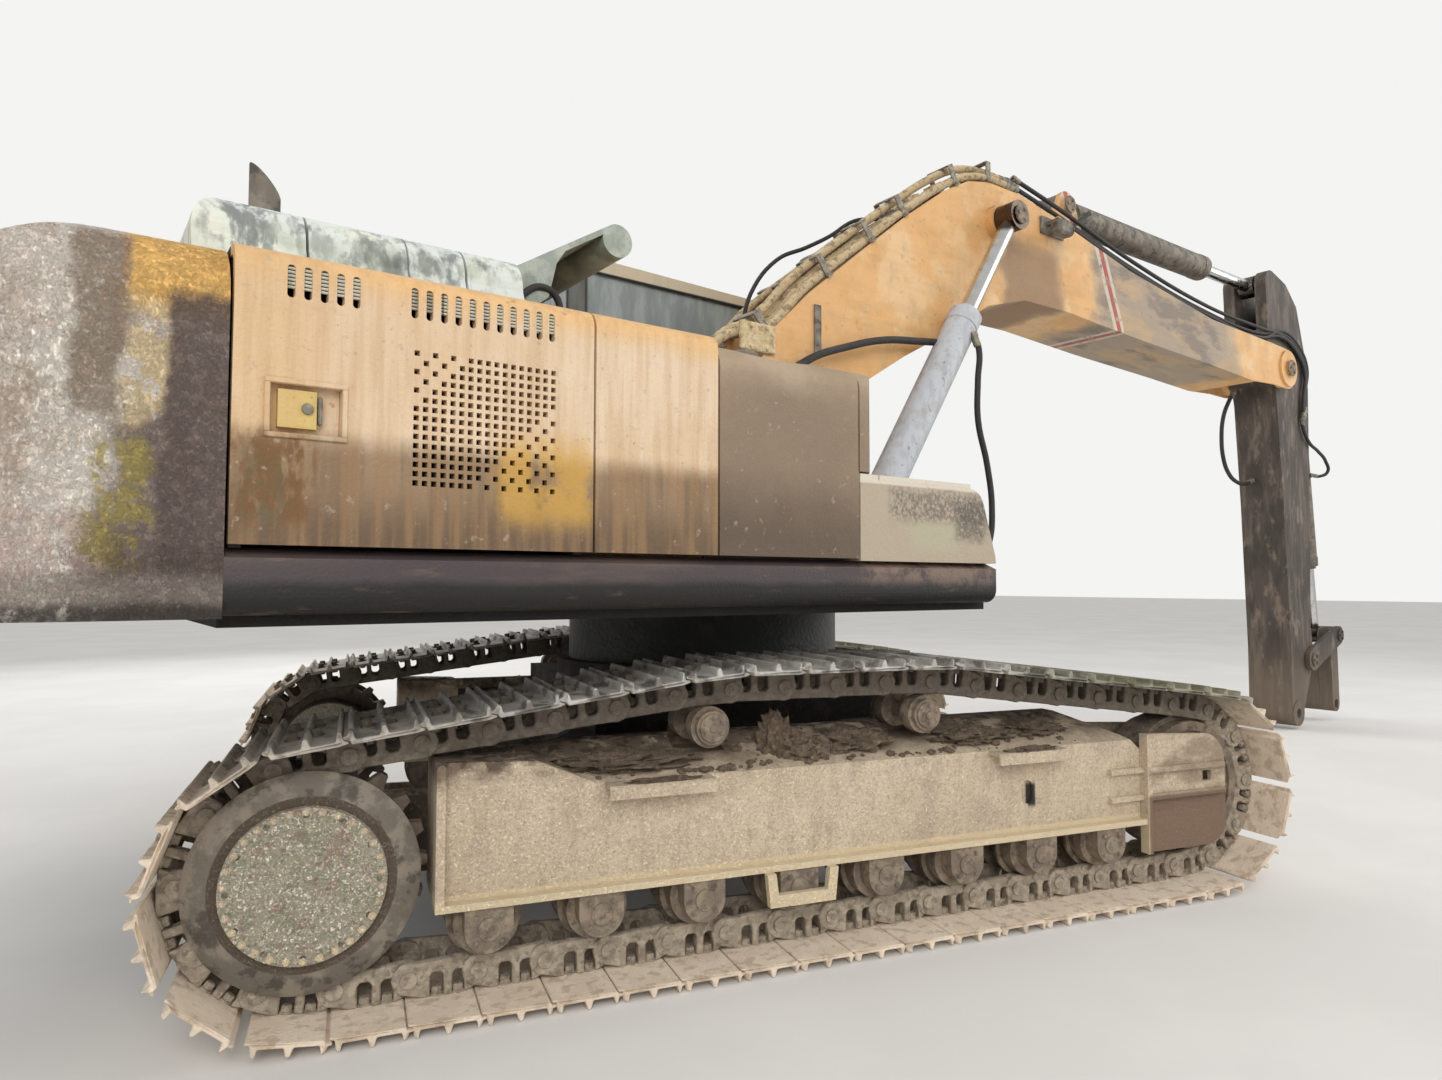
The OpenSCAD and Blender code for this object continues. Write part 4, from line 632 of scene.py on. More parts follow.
# Each finish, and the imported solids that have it
FINISHES = {
    "panel": (chalked_panel_enamel, ["hydraulic_tank", "fuel_tank", "tool_box", "tool_box_lid",
                                     "rear_door_right", "rear_door_left", "front_door_left"]),
    "skirt": (oily_skirt_enamel, ["side_skirts"]),
    "weight": (peeling_counterweight_paint, ["counterweight"]),
    "hood": (bleached_hood_enamel, ["engine_hood", "hood_lid", "front_hood_lid"]),
    "boom": (faded_boom_enamel, ["boom"]),
    "arm": (mud_dark_arm_paint, ["arm", "rocker_links", "bucket_link"]),
    "frame": (dusty_frame_paint, ["side_frames", "roller_guards"]),
    "chassis": (dark_dusty_steel, ["carbody", "deck", "house_frame", "engine", "deck_hydraulics"]),
    "roller": (worn_roller_steel, ["bottom_rollers", "carrier_rollers", "idlers", "sprockets"]),
    "drive": (lichen_dusted_casting, ["final_drives"]),
    "shoe": (sandy_shoe_steel, ["track_left", "track_right"]),
    "link": (greasy_link_steel, []),
    "tube": (dusty_cylinder_paint, ["boom_barrel_left", "boom_barrel_right"]),
    "dark_tube": (muddy_cylinder_paint, ["arm_barrel", "bucket_barrel"]),
    "rod": (hard_chrome, ["boom_rod_left", "boom_rod_right", "arm_rod", "bucket_rod"]),
    "pipe": (dusty_pipe_paint, ["boom_pipes"]),
    "hose": (aged_hose_rubber, []),
    "dusty_hose": (dust_coated_rubber, []),
    "fitting": (zinc_plated_fitting, []),
    "cab": (chalked_cab_enamel, ["cab_shell", "cab_door"]),
    "glass": (dusty_tinted_glass, ["cab_glass"]),
    "seat": (woven_seat_cloth, ["operator_seat"]),
    "plastic": (moulded_black_plastic, ["control_stands"]),
    "grease": (greasy_bearing_steel, ["swing_bearing"]),
    "earth": (dry_crumbled_earth, []),
    "floor": (pale_studio_floor, []),
}


def finish_of(name):
    """The material of a finish, made when first asked for and named as its function is."""
    build = FINISHES[name][0]
    label = build.__name__.replace("_", " ")
    made = bpy.data.materials.get(label)
    if made is None:
        made = build()
        made.name = label
    return made


# Modelling helpers


def nothing_selected():
    if bpy.context.mode != "OBJECT":
        bpy.ops.object.mode_set(mode="OBJECT")
    bpy.ops.object.select_all(action="DESELECT")


def only(piece):
    """Selects one piece and makes it active."""
    nothing_selected()
    piece.select_set(True)
    bpy.context.view_layer.objects.active = piece


def at_origin(piece):
    """Moves a piece's place, turn and size into its mesh."""
    only(piece)
    bpy.ops.object.transform_apply(location=True, rotation=True, scale=True)
    return piece


def settle(piece, name, finish, body):
    """Names a piece with its place in its mesh, and gives its finish and body, unless left out."""
    at_origin(piece).name = name
    piece.data.name = name
    if finish:
        piece.data.materials.clear()
        piece.data.materials.append(finish_of(finish))
    if body:
        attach(piece, body)
    return piece


def ring_of(points, fill):
    """A disc or a ring whose rim is moved to the points."""
    nothing_selected()
    bpy.ops.mesh.primitive_circle_add(vertices=len(points), radius=0.1, fill_type=fill)
    piece = bpy.context.object
    for vertex, point in zip(piece.data.vertices, points):
        vertex.co = point
    return piece


def closed(piece, thick=0.0):
    """Extrudes the active piece along Y, if it has a thickness, and turns its faces outwards."""
    bpy.ops.object.mode_set(mode="EDIT")
    bpy.ops.mesh.select_all(action="SELECT")
    if thick:
        bpy.ops.mesh.extrude_region_move(TRANSFORM_OT_translate={"value": (0, thick, 0)})
        bpy.ops.mesh.select_all(action="SELECT")
    bpy.ops.mesh.normals_make_consistent(inside=False)
    bpy.ops.object.mode_set(mode="OBJECT")
    return piece


def plate(outline, low, high):
    """A plate between two places along Y, from its outline of (x, z) points."""
    return closed(ring_of([(x, low, z) for x, z in outline], "NGON"), high - low)


def copies(model, places):
    """A joined mesh with one copy of the model at each place, given as a matrix."""
    made = []
    for place in places:
        piece = bpy.data.objects.new(model.name, model.data.copy())
        bpy.context.collection.objects.link(piece)
        piece.data.transform(place)
        if place.determinant() < 0:
            piece.data.flip_normals()
        made.append(piece)
    return joined(made)


def joined(pieces):
    nothing_selected()
    for piece in pieces:
        piece.select_set(True)
    bpy.context.view_layer.objects.active = pieces[0]
    if len(pieces) > 1:
        bpy.ops.object.join()
    return bpy.context.object


def drop(*pieces):
    for piece in pieces:
        bpy.data.objects.remove(piece, do_unlink=True)


def bevelled(piece, width, segments=1, angle=30):
    """Rounds the edges that turn by more than `angle` degrees."""
    only(piece)
    edge = piece.modifiers.new("edge", "BEVEL")
    edge.width = width
    edge.segments = segments
    edge.limit_method = "ANGLE"
    edge.angle_limit = math.radians(angle)
    bpy.ops.object.modifier_apply(modifier=edge.name)
    return piece


def smooth(piece, angle=35):
    only(piece)
    bpy.ops.object.shade_smooth_by_angle(angle=math.radians(angle))
    return piece


def inset_top(piece, thick, depth):
    """Insets the faces that look up, and lifts them by the depth."""
    bpy.ops.object.mode_set(mode="EDIT")
    bpy.ops.mesh.select_mode(type="FACE")
    bpy.ops.mesh.select_all(action="DESELECT")
    bpy.ops.object.mode_set(mode="OBJECT")
    for face in piece.data.polygons:
        face.select = face.normal.z > 0.9
    bpy.ops.object.mode_set(mode="EDIT")
    bpy.ops.mesh.inset(thickness=thick, depth=depth)
    bpy.ops.object.mode_set(mode="OBJECT")


def cylinder(sides, radius, depth, z=0.0):
    """A cylinder that stands along Z with its middle at a height."""
    nothing_selected()
    bpy.ops.mesh.primitive_cylinder_add(vertices=sides, radius=radius, depth=depth, location=(0, 0, z))
    return bpy.context.object


def bolt_head(radius, height):
    """A hexagon bolt head on its washer, standing on the XY plane."""
    washer = cylinder(12, radius * 1.35, height * 0.3, height * 0.15)
    head = cylinder(6, radius, height, height / 2)
    inset_top(head, radius * 0.2, height * 0.12)
    return at_origin(joined([washer, head]))


def moved(x, y, z):
    return Matrix.Translation((x, y, z))


def standing(centre, way):
    """The matrix that puts +Z along a direction at a place."""
    return Matrix.Translation(centre) @ Vector(way).to_track_quat("Z", "Y").to_matrix().to_4x4()


def disc(centre, radius, thick, way=(0, -1, 0)):
    """A round plate with its back at the centre, standing out along a direction."""
    piece = bevelled(cylinder(32, radius, thick), min(radius, thick) * 0.2)
    piece.data.transform(standing(centre, way) @ Matrix.Translation((0, 0, thick / 2)))
    return piece


def bolts(centre, circle, count, radius, way=(0, -1, 0)):
    """A ring of bolt heads round a centre, standing out along a direction."""
    model = bolt_head(radius, radius * 0.9)
    places = []
    for i in range(count):
        turn = 2 * math.pi * (i + 0.5) / count
        spot = Matrix.Translation((circle * math.cos(turn), circle * math.sin(turn), 0))
        places.append(standing(centre, way) @ spot)
    made = copies(model, places)
    drop(model)
    return made


def block(low, high, edge=0.003):
    """A box between two corners with bevelled edges."""
    nothing_selected()
    bpy.ops.mesh.primitive_cube_add(size=1, location=[(a + b) / 2 for a, b in zip(low, high)])
    piece = bpy.context.object
    piece.scale = [b - a for a, b in zip(low, high)]
    return bevelled(at_origin(piece), edge)


def turned(outline, steps=72):
    """A ring turned about the Y axis from a closed outline of (radius, y) points."""
    piece = ring_of([(radius, y, 0) for radius, y in outline], "NOTHING")
    screw = piece.modifiers.new("turn", "SCREW")
    screw.axis = "Y"
    screw.steps = screw.render_steps = steps
    screw.use_merge_vertices = True
    bpy.ops.object.modifier_apply(modifier=screw.name)
    return closed(piece)


def lump(centre, size, shift, detail=4):
    """A clod of crumbled earth: a ball whose skin is broken up by noise."""
    nothing_selected()
    bpy.ops.mesh.primitive_ico_sphere_add(subdivisions=detail, radius=1.0)
    piece = bpy.context.object
    for vertex in piece.data.vertices:
        rough = noise.fractal(vertex.co * 2.4 + Vector((shift, 0, 0)), 0.5, 2.0, 6)
        skin = [a * b * (1 + 0.4 * rough) for a, b in zip(vertex.co, size)]
        vertex.co = Vector(centre) + Vector(skin)
    return piece


def hose_end(diameter):
    """A crimped ferrule and its swivel nut, from the origin up along +Z."""
    nut = bevelled(cylinder(6, diameter * 0.78, diameter * 0.8, diameter * 0.4), diameter * 0.05)
    ferrule = cylinder(16, diameter * 0.62, diameter * 1.5, diameter * 1.55)
    inset_top(ferrule, diameter * 0.08, diameter * 0.12)
    whole = at_origin(joined([nut, ferrule]))
    whole.data.materials.append(finish_of("fitting"))
    return smooth(whole)


def tube(points, diameter, finish, corner="AUTO", endless=False):
    """A round bar or hose through the points; corners are AUTO for soft or VECTOR for sharp."""
    nothing_selected()
    bpy.ops.curve.primitive_bezier_curve_add()
    made = bpy.context.object
    line = made.data.splines[0]
    line.bezier_points.add(len(points) - 2)
    for knot, place in zip(line.bezier_points, points):
        knot.co = place
        knot.handle_left_type = knot.handle_right_type = corner
    line.use_cyclic_u = endless
    line.resolution_u = 6 if corner == "AUTO" else 1
    made.data.bevel_depth = diameter / 2
    made.data.bevel_resolution = 3
    made.data.use_fill_caps = True
    bpy.ops.object.convert(target="MESH")
    made = bpy.context.object
    made.data.materials.clear()
    made.data.materials.append(finish_of(finish))
    return made


def hose(name, points, diameter, finish, body, bend=None):
    """A hose through the points with a fitting on each end; a `bend` of (second body, start, end) only
    leaves it on no body.
    """
    end = hose_end(diameter)
    places = [standing(here, Vector(there) - Vector(here))
              for here, there in (points[:2], points[:-3:-1])]
    whole = joined([tube(points, diameter, finish), copies(end, places)])
    drop(end)
    settle(whole, name, None, None if bend else body)
    if bend:
        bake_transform(whole)


def at_y(y, *places):
    """Points at one Y, from their X and Z."""
    return [(x, y, z) for x, z in places]


def mirrored(points, side):
    """The points with their Y on the left for 1 or on the right for -1."""
    return [(x, side * y, z) for x, y, z in points]


def strap(span, height, thick, width):
    """A bridge clamp over a bundle: feet, legs and a flat top, along Y and standing on XY."""
    half = span / 2
    foot, top = half + thick * 2.2, height - thick
    outline = [(-foot, 0), (-half, 0), (-half, top), (half, top), (half, 0), (foot, 0), (foot, thick),
               (half + thick, thick), (half + thick, height), (-half - thick, height),
               (-half - thick, thick), (-foot, thick)]
    bridge = plate(outline, -width / 2, width / 2)
    bridge.data.transform(Matrix.Rotation(math.pi / 2, 4, "Z"))
    return bevelled(bridge, thick * 0.2)


# Track chains


def route_of_pins(sizes):
    """Points along the closed line of the link pins, in the plane of one track."""
    reach = sizes.wheelbase / 2
    climb = sizes.carrier_z - sizes.wheel_z - sizes.pin_circle
    lead_front = math.asin(climb / (reach - FRONT_CARRIER))
    lead_rear = math.asin(climb / (reach + REAR_CARRIER))

    def round_wheel(x, start, sweep, steps=40):
        turns = [start + sweep * i / steps for i in range(steps + 1)]
        return [(x + sizes.pin_circle * math.cos(turn), sizes.wheel_z + sizes.pin_circle * math.sin(turn))
                for turn in turns]

    return (round_wheel(reach, -math.pi / 2, math.pi - lead_front)
            + [(FRONT_CARRIER, sizes.carrier_z), (REAR_CARRIER, sizes.carrier_z)]
            + round_wheel(-reach, math.pi / 2 + lead_rear, math.pi - lead_rear)
            + [(reach, sizes.wheel_z - sizes.pin_circle)])


def pins_along(sizes):
    """The places of the link pins, one for each shoe, and their pitch."""
    points = route_of_pins(sizes)
    spans = [math.dist(a, b) for a, b in zip(points, points[1:])]
    pitch = sum(spans) / sizes.shoe_count
    pins = []
    for i in range(sizes.shoe_count):
        left = (i + 0.5) * pitch
        k = 0
        while left > spans[k]:
            left -= spans[k]
            k += 1
        (ax, az), (bx, bz) = points[k], points[k + 1]
        share = left / spans[k]
        pins.append((ax + (bx - ax) * share, az + (bz - az) * share))
    return pins, pitch


def track_shoe(sizes, pitch):
    """A triple grouser shoe with clipped corners; Z is outwards from the link pins."""
    seat = sizes.link_out
    face = seat + sizes.plate
    tip = face + sizes.grouser
    # Shares of the pitch and heights: each shoe's front lip lies under the next one's raised rear lip
    steps = [(-0.04, seat + 0.001), (-0.04, seat + 0.009), (0.03, seat + 0.011), (0.045, tip),
             (0.09, tip), (0.12, face), (0.44, face), (0.475, tip), (0.525, tip), (0.56, face),
             (0.88, face), (0.91, tip), (0.955, tip), (0.985, seat + 0.024), (1.035, seat + 0.024),
             (1.035, seat + 0.015), (0.95, seat + 0.012), (0.93, seat), (0.1, seat)]
    half = sizes.shoe_width / 2
    shoe = plate([(u * pitch, z) for u, z in steps], -half, half)
    clip, clipped_width = 0.05, 0.94
    for vertex in shoe.data.vertices:
        along = vertex.co.x / pitch
        if along < clip or along > 1 - clip:
            vertex.co.y *= clipped_width
    return bevelled(shoe, 0.003)


def track_link(sizes, pitch):
    """One link seen from its side: two pin bosses, a rail and two windows over the shoe bolts."""
    boss = sizes.link_in + 0.004
    outline = [(boss * math.cos(turn), boss * math.sin(turn))
               for turn in (math.radians(90 + 30 * i) for i in range(7))]
    outline += [(0.12 * pitch, -sizes.link_in), (0.88 * pitch, -sizes.link_in)]
    outline += [(pitch + boss * math.cos(turn), boss * math.sin(turn))
                for turn in (math.radians(-80 + 32 * i) for i in range(6))]
    seat = sizes.link_out
    sill = -0.012
    for start, end in ((0.8, 0.62), (0.5, 0.3)):
        outline += [((start + 0.06) * pitch, seat), (start * pitch, seat), (start * pitch, sill + 0.012),
                    ((start - 0.04) * pitch, sill), ((end + 0.04) * pitch, sill),
                    (end * pitch, sill + 0.012), (end * pitch, seat)]
    outline += [(0.2 * pitch, seat)]
    half = sizes.link_thick / 2
    link = plate(outline, -half, half)
    # The boss end stands on the outer half and the far end on the inner half, with a small overlap
    boss_end, far_end, overlap = 0.22, 0.84, 0.002
    for vertex in link.data.vertices:
        along = vertex.co.x / pitch
        if along < boss_end and vertex.co.y > 0:
            vertex.co.y = overlap
        if along > far_end and vertex.co.y < 0:
            vertex.co.y = -overlap
    return bevelled(link, 0.004, 1, 40)


def pin_boss():
    """The end of a link pin in its collar, with a dished centre, facing -Y."""
    nothing_selected()
    bpy.ops.mesh.primitive_cylinder_add(vertices=20, radius=0.034, depth=0.02,
                                        rotation=(math.pi / 2, 0, 0))
    boss = bpy.context.object
    bpy.ops.object.transform_apply(location=False, rotation=True, scale=False)
    for face in boss.data.polygons:
        face.select = face.normal.y < -0.9
    bpy.ops.object.mode_set(mode="EDIT")
    bpy.ops.mesh.select_mode(type="FACE")
    bpy.ops.mesh.inset(thickness=0.012, depth=0.0)
    bpy.ops.mesh.inset(thickness=0.003, depth=-0.008)
    bpy.ops.object.mode_set(mode="OBJECT")
    return boss


class EXCAVATOR_OT_tracks(bpy.types.Operator):
    """Model both track chains from one shoe, one link and one pin end"""

    bl_idname = "excavator.tracks"
    bl_label = "Track Chains"

    def execute(self, context):
        sizes = track_sizes()
        pins, pitch = pins_along(sizes)
        shoe = track_shoe(sizes, pitch)
        link = track_link(sizes, pitch)
        boss = pin_boss()
        nut = bolt_head(0.017, 0.022)
        rail = sizes.rail_gap / 2
        boss_out, bolt_shares = 0.029, (0.4, 0.71)
        turn_down = Matrix.Rotation(-math.pi, 4, "X")
        for side, name in ((1, "left"), (-1, "right")):
            shoe_places, link_places, boss_places, nut_places = [], [], [], []
            whole = Matrix.Rotation(-sizes.slew, 4, "Z") @ moved(0, side * sizes.gauge / 2, 0)
            for (ax, az), (bx, bz) in zip(pins, pins[1:] + pins[:1]):
                heading = math.atan2(bz - az, bx - ax)
                # Local X runs to the next pin and local Z outwards, away from the loop's inside
                along = whole @ moved(ax, 0, az) @ Matrix.Rotation(-heading, 4, "Y")
                along = along @ Matrix.Scale(-1, 4, (0, 0, 1))
                shoe_places.append(along)
                for s in (-1, 1):
                    mirror = Matrix.Scale(-s, 4, (0, 1, 0))
                    link_places.append(along @ moved(0, s * rail, 0) @ mirror)
                    boss_places.append(along @ moved(0, s * (rail + boss_out), 0) @ mirror)
                    for u in bolt_shares:
                        x, y, z = u * pitch, s * rail, sizes.link_out
                        nut_places += [along @ moved(x, y, z) @ turn_down,
                                       along @ moved(x, y, z + sizes.plate)]
            shoes = copies(shoe, shoe_places)
            settle(shoes, f"track_shoes_{name}", "shoe", "undercarriage")
            chain = joined([copies(link, link_places), copies(boss, boss_places), copies(nut, nut_places)])
            settle(smooth(chain), f"link_chain_{name}", "link", "undercarriage")
            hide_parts(f"track_{name}")
        drop(shoe, link, boss, nut)
        return {"FINISHED"}


# Hoses and their clamps


def over_boom(first, last, y, lift):
    """Points at a height over the boom's top plate, square to it, between two of its corners."""
    points = []
    for i in range(first, last + 1):
        (ax, az), (bx, bz) = BOOM_TOP[max(i - 1, 0)], BOOM_TOP[min(i + 1, len(BOOM_TOP) - 1)]
        slope = math.atan2(bz - az, bx - ax)
        x, z = BOOM_TOP[i]
        points.append((x - lift * math.sin(slope), y, z + lift * math.cos(slope)))
    return points


class EXCAVATOR_OT_boom_hoses(bpy.types.Operator):
    """Run the dusty hose bundle from the deck up the back of the boom, with its clamps"""

    bl_idname = "excavator.boom_hoses"
    bl_label = "Boom Hoses"

    def execute(self, context):
        sizes = hose_sizes()
        foot = ("boom", (-0.16, 0, 2.2), (0.16, 0, 2.72))
        wide, thin = sizes.wrapped, sizes.large
        # Name, Y, height over the boom, diameter and the last corner of the boom's top that it reaches
        strands = (("right_outer", -0.262, 0.03, wide, 7), ("right_over", -0.2, 0.098, wide, 7),
                   ("right_pipe", -0.215, 0.042, thin, 3), ("right_inner", -0.175, 0.042, thin, 3),
                   ("left_pipe", 0.215, 0.042, thin, 3), ("left_inner", 0.175, 0.042, thin, 3),
                   ("left_outer", 0.262, 0.03, wide, 7))
        for i, (name, y, lift, diameter, last) in enumerate(strands):
            # A strand starts nearer the middle than it lies on the boom, by these shares of its Y
            sag = 0.025 * (i % 3)
            start = [(-0.36, y * 0.8, 1.86), (-0.33, y * 0.84, 2.1), (-0.23 + sag, y * 0.9, 2.38),
                     (-0.06 + sag, y * 0.97, 2.6 + sag)]
            climb = over_boom(0, last, y, lift)
            # Neighbours part a little by the boom's foot
            climb[1:3] = [(x, w + 0.006 * (-1) ** i, z + 0.012 * (i % 2)) for x, w, z in climb[1:3]]
            hose(f"boom_hose_{name}", start + climb, diameter, "dusty_hose", "upper", bend=foot)
        # A slack hose that stands in an arch over the boom's left half
        hose("loose_boom_hose", [(0.3, 0.06, 2.76), (0.36, 0.05, 2.98), (0.53, 0.03, 3.2),
                                 (0.75, 0.02, 3.32), (0.92, 0.01, 3.42), (1.12, 0.0, 3.56),
                                 (1.34, 0.0, 3.63), (1.6, 0.0, 3.79)], sizes.small * 0.8, "hose", "boom")
        self.clamps()
        return {"FINISHED"}

    def clamps(self):
        made = []
        # The corner of the boom's top before each clamp, and its share of the way to the next
        for k, share in ((0, 0.0), (1, 0.35), (2, 0.2), (2, 1.0), (4, 0.5), (6, 0.0)):
            (ax, az), (bx, bz) = BOOM_TOP[k], BOOM_TOP[k + 1]
            slope = math.atan2(bz - az, bx - ax)
            for side in (-1, 1):
                bridge = strap(0.155, 0.135 if side < 0 else 0.07, 0.01, 0.045)
                bolt = bolt_head(0.011, 0.012)
                heads = copies(bolt, [moved(0, w * 0.088, 0.01) for w in (-1, 1)])
                drop(bolt)
                whole = joined([bridge, heads])
                whole.data.transform(moved(ax + (bx - ax) * share, side * 0.2, az + (bz - az) * share)
                                     @ Matrix.Rotation(-slope, 4, "Y"))
                made.append(whole)
        settle(joined(made), "boom_hose_clamps", "fitting", "boom")


class EXCAVATOR_OT_tip_hoses(bpy.types.Operator):
    """Run hoses down the boom's front slope, over its tip and on to the arm and bucket cylinder"""

    bl_idname = "excavator.tip_hoses"
    bl_label = "Tip Hoses"

    def execute(self, context):
        sizes = hose_sizes()
        bend = ("arm", (6.15, 0, 3.6), (6.9, 0, 3.25))
        over_tip = [(6.42, 3.655), (6.74, 3.57), (6.93, 3.38), (6.88, 3.14), (6.86, 2.92)]
        # Name, Y, height over the boom and how far the hose stands out from the tip
        for name, y, lift, out in (("right_low", -0.215, 0.035, 0.0), ("right_mid", -0.222, 0.08, 0.05),
                                   ("right_edge", -0.252, 0.035, 0.1), ("right_high", -0.235, 0.125, 0.02),
                                   ("left_low", 0.215, 0.035, 0.0), ("left_edge", 0.252, 0.035, 0.06)):
            down = [(x + out * 0.5, math.copysign(0.222, y), z + out * 0.6) for x, z in over_tip]
            run = over_boom(8 if lift < 0.05 else 7, len(BOOM_TOP) - 1, y, lift) + down
            hose(f"tip_hose_{name}", run, sizes.small, "hose", "boom", bend=bend)
        for side, name in SIDES:
            run = at_y(0.215, (6.87 + 0.02 * side, 2.94), (6.88, 2.84), (7.0, 2.72), (7.2, 2.65),
                       (7.38, 2.56), (7.42, 2.47))
            run += [(7.35, 0.17, 2.42), (7.27, 0.11, 2.43)]
            hose(f"bucket_cylinder_hose_{name}", mirrored(run, side), sizes.small, "hose", "arm",
                 bend=("bucket_barrel", (6.95, 0, 2.7), (7.3, 0, 2.6)))
        loop = at_y(0.07, (6.12, 3.15), (6.02, 3.05), (5.9, 2.88), (5.86, 2.7), (5.88, 2.52),
                    (5.97, 2.38), (6.15, 2.3), (6.32, 2.3), (6.455, 2.34))
        hose("arm_loop_hose", loop, sizes.large, "hose", "boom",
             bend=("arm", (5.9, 0, 2.9), (6.1, 0, 2.36)))
        self.cylinder_hoses(sizes)
        return {"FINISHED"}

    def cylinder_hoses(self, sizes):
        """The arm cylinder's hoses from the boom pipes, and its steel pipe to the gland."""
        run = [(2.88, 0.175, 3.915), (2.99, 0.175, 3.9), (3.12, 0.175, 3.93), (3.26, 0.17, 4.02),
               (3.38, 0.165, 4.1), (3.46, 0.13, 4.14)]
        for side, name in SIDES:
            hose(f"arm_cylinder_hose_{name}", mirrored(run, side), sizes.small, "hose", "boom",
                 bend=("arm_barrel", (3.0, 0, 3.95), (3.35, 0, 4.1)))
        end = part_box("arm_barrel")[1][0] - 0.11
        points = [(3.5, 0.1, 4.16), (3.56, 0.135, 4.17), (3.8, 0.14, 4.175), (end - 0.3, 0.14, 4.195),
                  (end - 0.06, 0.135, 4.2), (end, 0.09, 4.2)]
        hose("arm_cylinder_pipe", points, 0.026, "pipe", "arm_barrel")


class EXCAVATOR_OT_boom_cylinder_hoses(bpy.types.Operator):
    """Hang the boom cylinders' hoses between the deck, the boom foot and the glands"""

    bl_idname = "excavator.boom_cylinder_hoses"
    bl_label = "Boom Cylinder Hoses"

    def execute(self, context):
        sizes = hose_sizes()
        long_run = [(-0.1, 0.42, 1.75), (-0.04, 0.41, 2.02), (0.12, 0.38, 2.3), (0.42, 0.36, 2.53),
                    (0.72, 0.36, 2.65), (1.0, 0.36, 2.73), (1.3, 0.36, 2.77), (1.5, 0.375, 2.79),
                    (1.6, 0.4, 2.8)]
        gland_run = [(1.6, 0.5, 2.84), (1.63, 0.52, 2.74), (1.63, 0.51, 2.56)]
        gland_run += at_y(0.5, (1.64, 2.32), (1.72, 2.06), (1.76, 1.8), (1.73, 1.6), (1.6, 1.43),
                          (1.35, 1.34), (1.05, 1.36), (0.85, 1.46))
        for side, name in SIDES:
            body = f"boom_barrel_{name}"
            hose(f"boom_cylinder_hose_{name}", mirrored(long_run, side), sizes.wrapped * 0.85, "hose",
                 "upper", bend=(body, (0.1, 0, 2.3), (1.45, 0, 2.8)))
            hose(f"gland_hose_{name}", mirrored(gland_run, side), sizes.large, "hose", "upper",
                 bend=(body, (1.1, 0, 1.45), (1.6, 0, 2.2)))
        return {"FINISHED"}


# Small fittings and dirt


